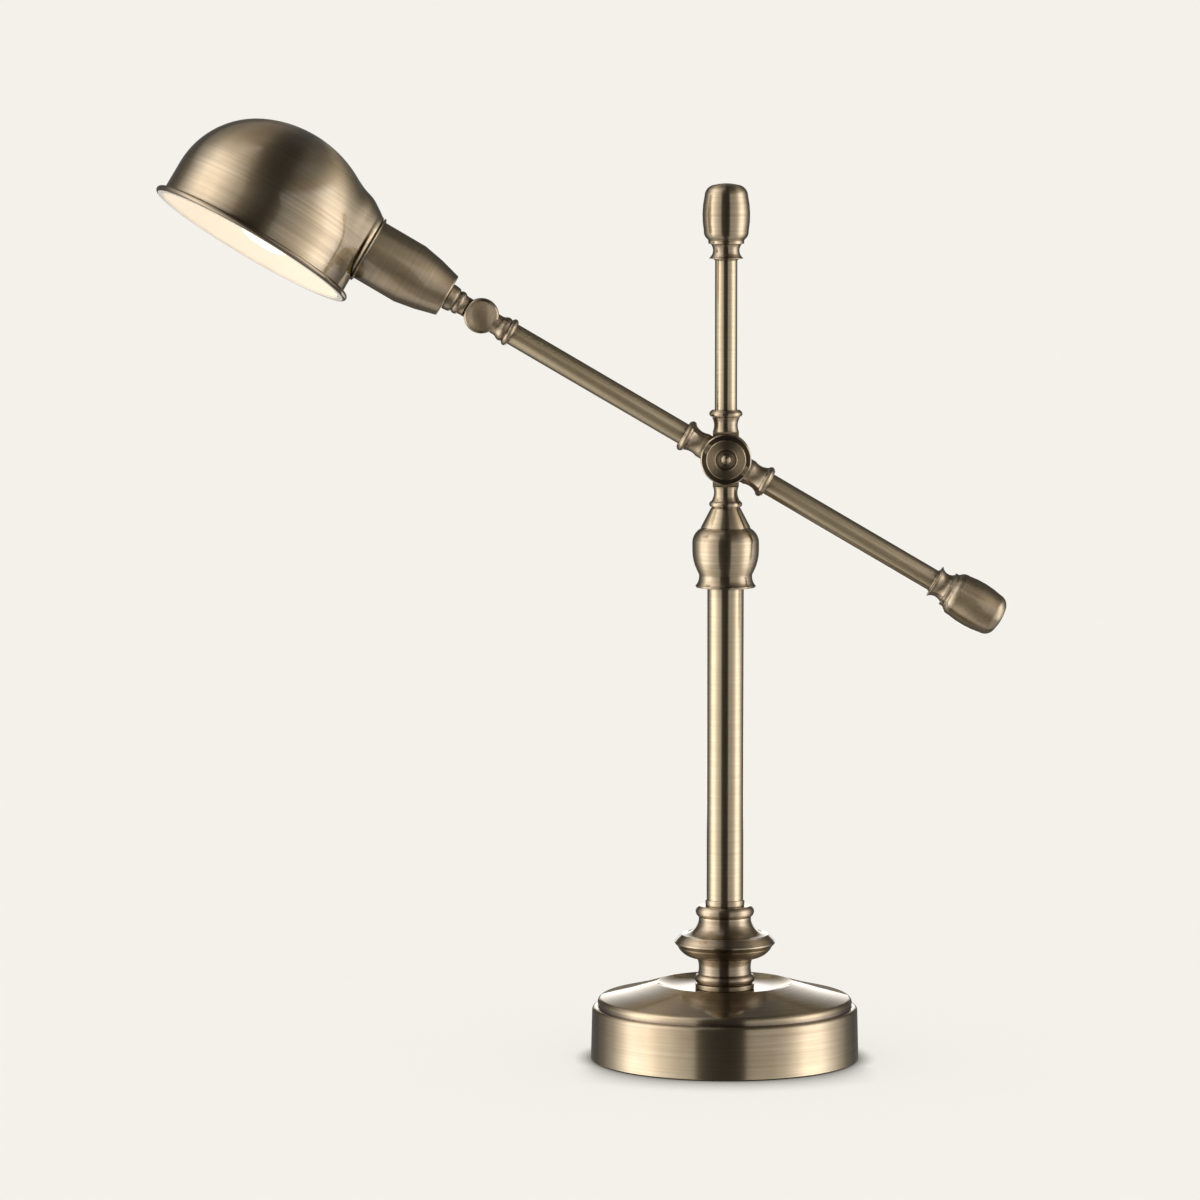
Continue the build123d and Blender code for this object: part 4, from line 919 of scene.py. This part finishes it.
# Brightness of the studio by degrees round the lamp, 0 at the camera and 90 at the right:
# level with the lamp, above the right soft box, near the ceiling, and from the table
WALL_LIGHT = (
    (-180, 0.15), (-165, 0.15), (-146, 0.2), (-130, 0.45), (-114, 1.1), (-103, 2.4), (-92, 4.5),
    (-72, 4.4), (-60, 2.7), (-42, 1.5), (-28, 1.1), (-25, 0.12), (-8, 0.08), (16, 0.08), (19, 1.0),
    (40, 1.15), (54, 1.6), (64, 2.7), (74, 4.5), (90, 4.4), (104, 2.3), (116, 1.2), (130, 0.45),
    (146, 0.2), (165, 0.15), (180, 0.15),
)
UPPER_LIGHT = (
    (-180, 0.25), (-160, 0.4), (-140, 0.7), (-125, 1.4), (-110, 2.5), (-95, 3.8), (-70, 3.8), (-55, 2.7),
    (-38, 1.5), (-28, 0.9), (-24, 0.2), (8, 0.08), (40, 0.15), (60, 0.3), (85, 0.5), (110, 0.3),
    (140, 0.2), (160, 0.15), (180, 0.25),
)
CEILING_LIGHT = (
    (-180, 0.1), (-140, 0.3), (-110, 0.9), (-85, 1.5), (-60, 1.1), (-30, 0.4), (0, 0.08), (60, 0.1),
    (140, 0.1), (180, 0.1),
)
TABLE_LIGHT = (
    (-180, 0.25), (-140, 0.3), (-110, 1.0), (-60, 1.0), (-30, 0.8), (-24, 0.12), (16, 0.12), (22, 0.8), (60, 1.0),
    (110, 1.0), (140, 0.3), (180, 0.25),
)
# Heights in degrees between which one gives way to the next
TABLE_EDGE = (-40.0, -26.0)
LOW_BOX_EDGE = (24.0, 32.0)
HIGH_BOX_EDGE = (50.0, 62.0)


def floor_piece():
    """Pale matt floor with a painted shadow close round the lamp, over paper that takes its real shadow."""
    half = 6.0
    mesh = bpy.data.meshes.new("floor")
    mesh.from_pydata([(-half, -half, 0), (half, -half, 0), (half, half, 0), (-half, half, 0)], [], [(0, 1, 2, 3)])
    floor = bpy.data.objects.new("floor", mesh)
    bpy.context.scene.collection.objects.link(floor)
    material = bpy.data.materials.new("pale_floor")
    material.use_nodes = True
    tree = material.node_tree
    tree.nodes.clear()
    # To the camera it is mostly the pale background with a painted shadow close round the lamp,
    # and to all other rays plain paper
    place = add(tree, "ShaderNodeSeparateXYZ", {0: add(tree, "ShaderNodeTexCoord").outputs["Object"]}).outputs
    reach = ramp(tree, place[1], -0.085, -0.03, FRONT_SHADOW_REACH, SHADOW_REACH)
    near = add(tree, "ShaderNodeAmbientOcclusion", {"Distance": reach}, samples=16).outputs["AO"]
    depth = ramp(tree, near, 0.5, 0.97, SHADOW_DEPTH, 0.0)
    paper = add(tree, "ShaderNodeBsdfDiffuse", {"Color": FLOOR_COLOUR}).outputs[0]
    # Painted shadow: the background colour darkened to 38332F where ambient occlusion finds the lamp close by
    painted_shadow_floor = add(tree, "ShaderNodeEmission", {"Color": mix_colour(tree, depth, FLOOR_COLOUR, srgb("38332F"))}).outputs[0]
    ray = add(tree, "ShaderNodeLightPath").outputs["Is Camera Ray"]
    share = add(tree, "ShaderNodeMath", {0: ray, 1: SEEN_SHARE}, operation="MULTIPLY").outputs[0]
    both = add(tree, "ShaderNodeMixShader", {0: share, 1: paper, 2: painted_shadow_floor})
    add(tree, "ShaderNodeOutputMaterial", {"Surface": both.outputs[0]})
    mesh.materials.append(material)
    floor.visible_glossy = False


def sweep_card():
    """Pale card behind the lamp that only its polished top surfaces see."""
    side, back, low, high = SWEEP_CARD
    mesh = bpy.data.meshes.new("sweep_card")
    mesh.from_pydata([(-side, back, low), (side, back, low), (side, back, high), (-side, back, high)], [], [(0, 1, 2, 3)])
    card = bpy.data.objects.new("sweep_card", mesh)
    bpy.context.scene.collection.objects.link(card)
    material = bpy.data.materials.new("sweep_card")
    material.use_nodes = True
    tree = material.node_tree
    tree.nodes.clear()
    place = add(tree, "ShaderNodeSeparateXYZ", {0: add(tree, "ShaderNodeTexCoord").outputs["Object"]}).outputs
    aside = add(tree, "ShaderNodeMath", {0: place[0]}, operation="ABSOLUTE").outputs[0]
    # Its foot stands higher in the middle, behind the flange
    above = add(tree, "ShaderNodeMath", {
        0: place[2], 1: ramp(tree, aside, 0.07, 0.1, CARD_NOTCH, 0.0),
    }, operation="SUBTRACT").outputs[0]
    light = SWEEP_LIGHT
    for value, start, end, first, last in (
        (above, low, low + 0.01, 0.0, 1.0), (place[2], 0.14, high, 1.0, 0.0), (aside, 0.11, side, 1.0, 0.0),
    ):
        faded = ramp(tree, value, start, end, first, last)
        light = add(tree, "ShaderNodeMath", {0: light, 1: faded}, operation="MULTIPLY").outputs[0]
    glow = add(tree, "ShaderNodeEmission", {"Color": srgb("FFFDFB"), "Strength": light})
    add(tree, "ShaderNodeOutputMaterial", {"Surface": glow.outputs[0]})
    mesh.materials.append(material)
    card.visible_camera = card.visible_diffuse = card.visible_shadow = card.visible_transmission = False


# Half its width, how far behind the lamp it stands, and its foot and top
SWEEP_CARD = (0.24, 0.5, 0.065, 0.38)
CARD_NOTCH = 0.018
SWEEP_LIGHT = 2.4
FLOOR_COLOUR = srgb("F4F1EB")
# Reach of the painted shadow at the sides and in front, its depth, and the camera's share of the painted floor
SHADOW_REACH = 0.013
FRONT_SHADOW_REACH = 0.045
SHADOW_DEPTH = 0.95
SEEN_SHARE = 0.7


def camera():
    """Camera in front of the lamp, a little above it, with a long lens."""
    data = bpy.data.cameras.new("camera")
    data.sensor_width = 36
    data.lens = 173.85
    data.clip_end = 100
    obj = bpy.data.objects.new("camera", data)
    bpy.context.scene.collection.objects.link(obj)
    obj.location = (-0.0792, -3.64, 0.643)
    obj.rotation_euler = (math.radians(90 - 5.5), 0, 0)
    bpy.context.scene.camera = obj


world_light()
floor_piece()
sweep_card()
camera()
bpy.context.scene.view_settings.view_transform = "Standard"
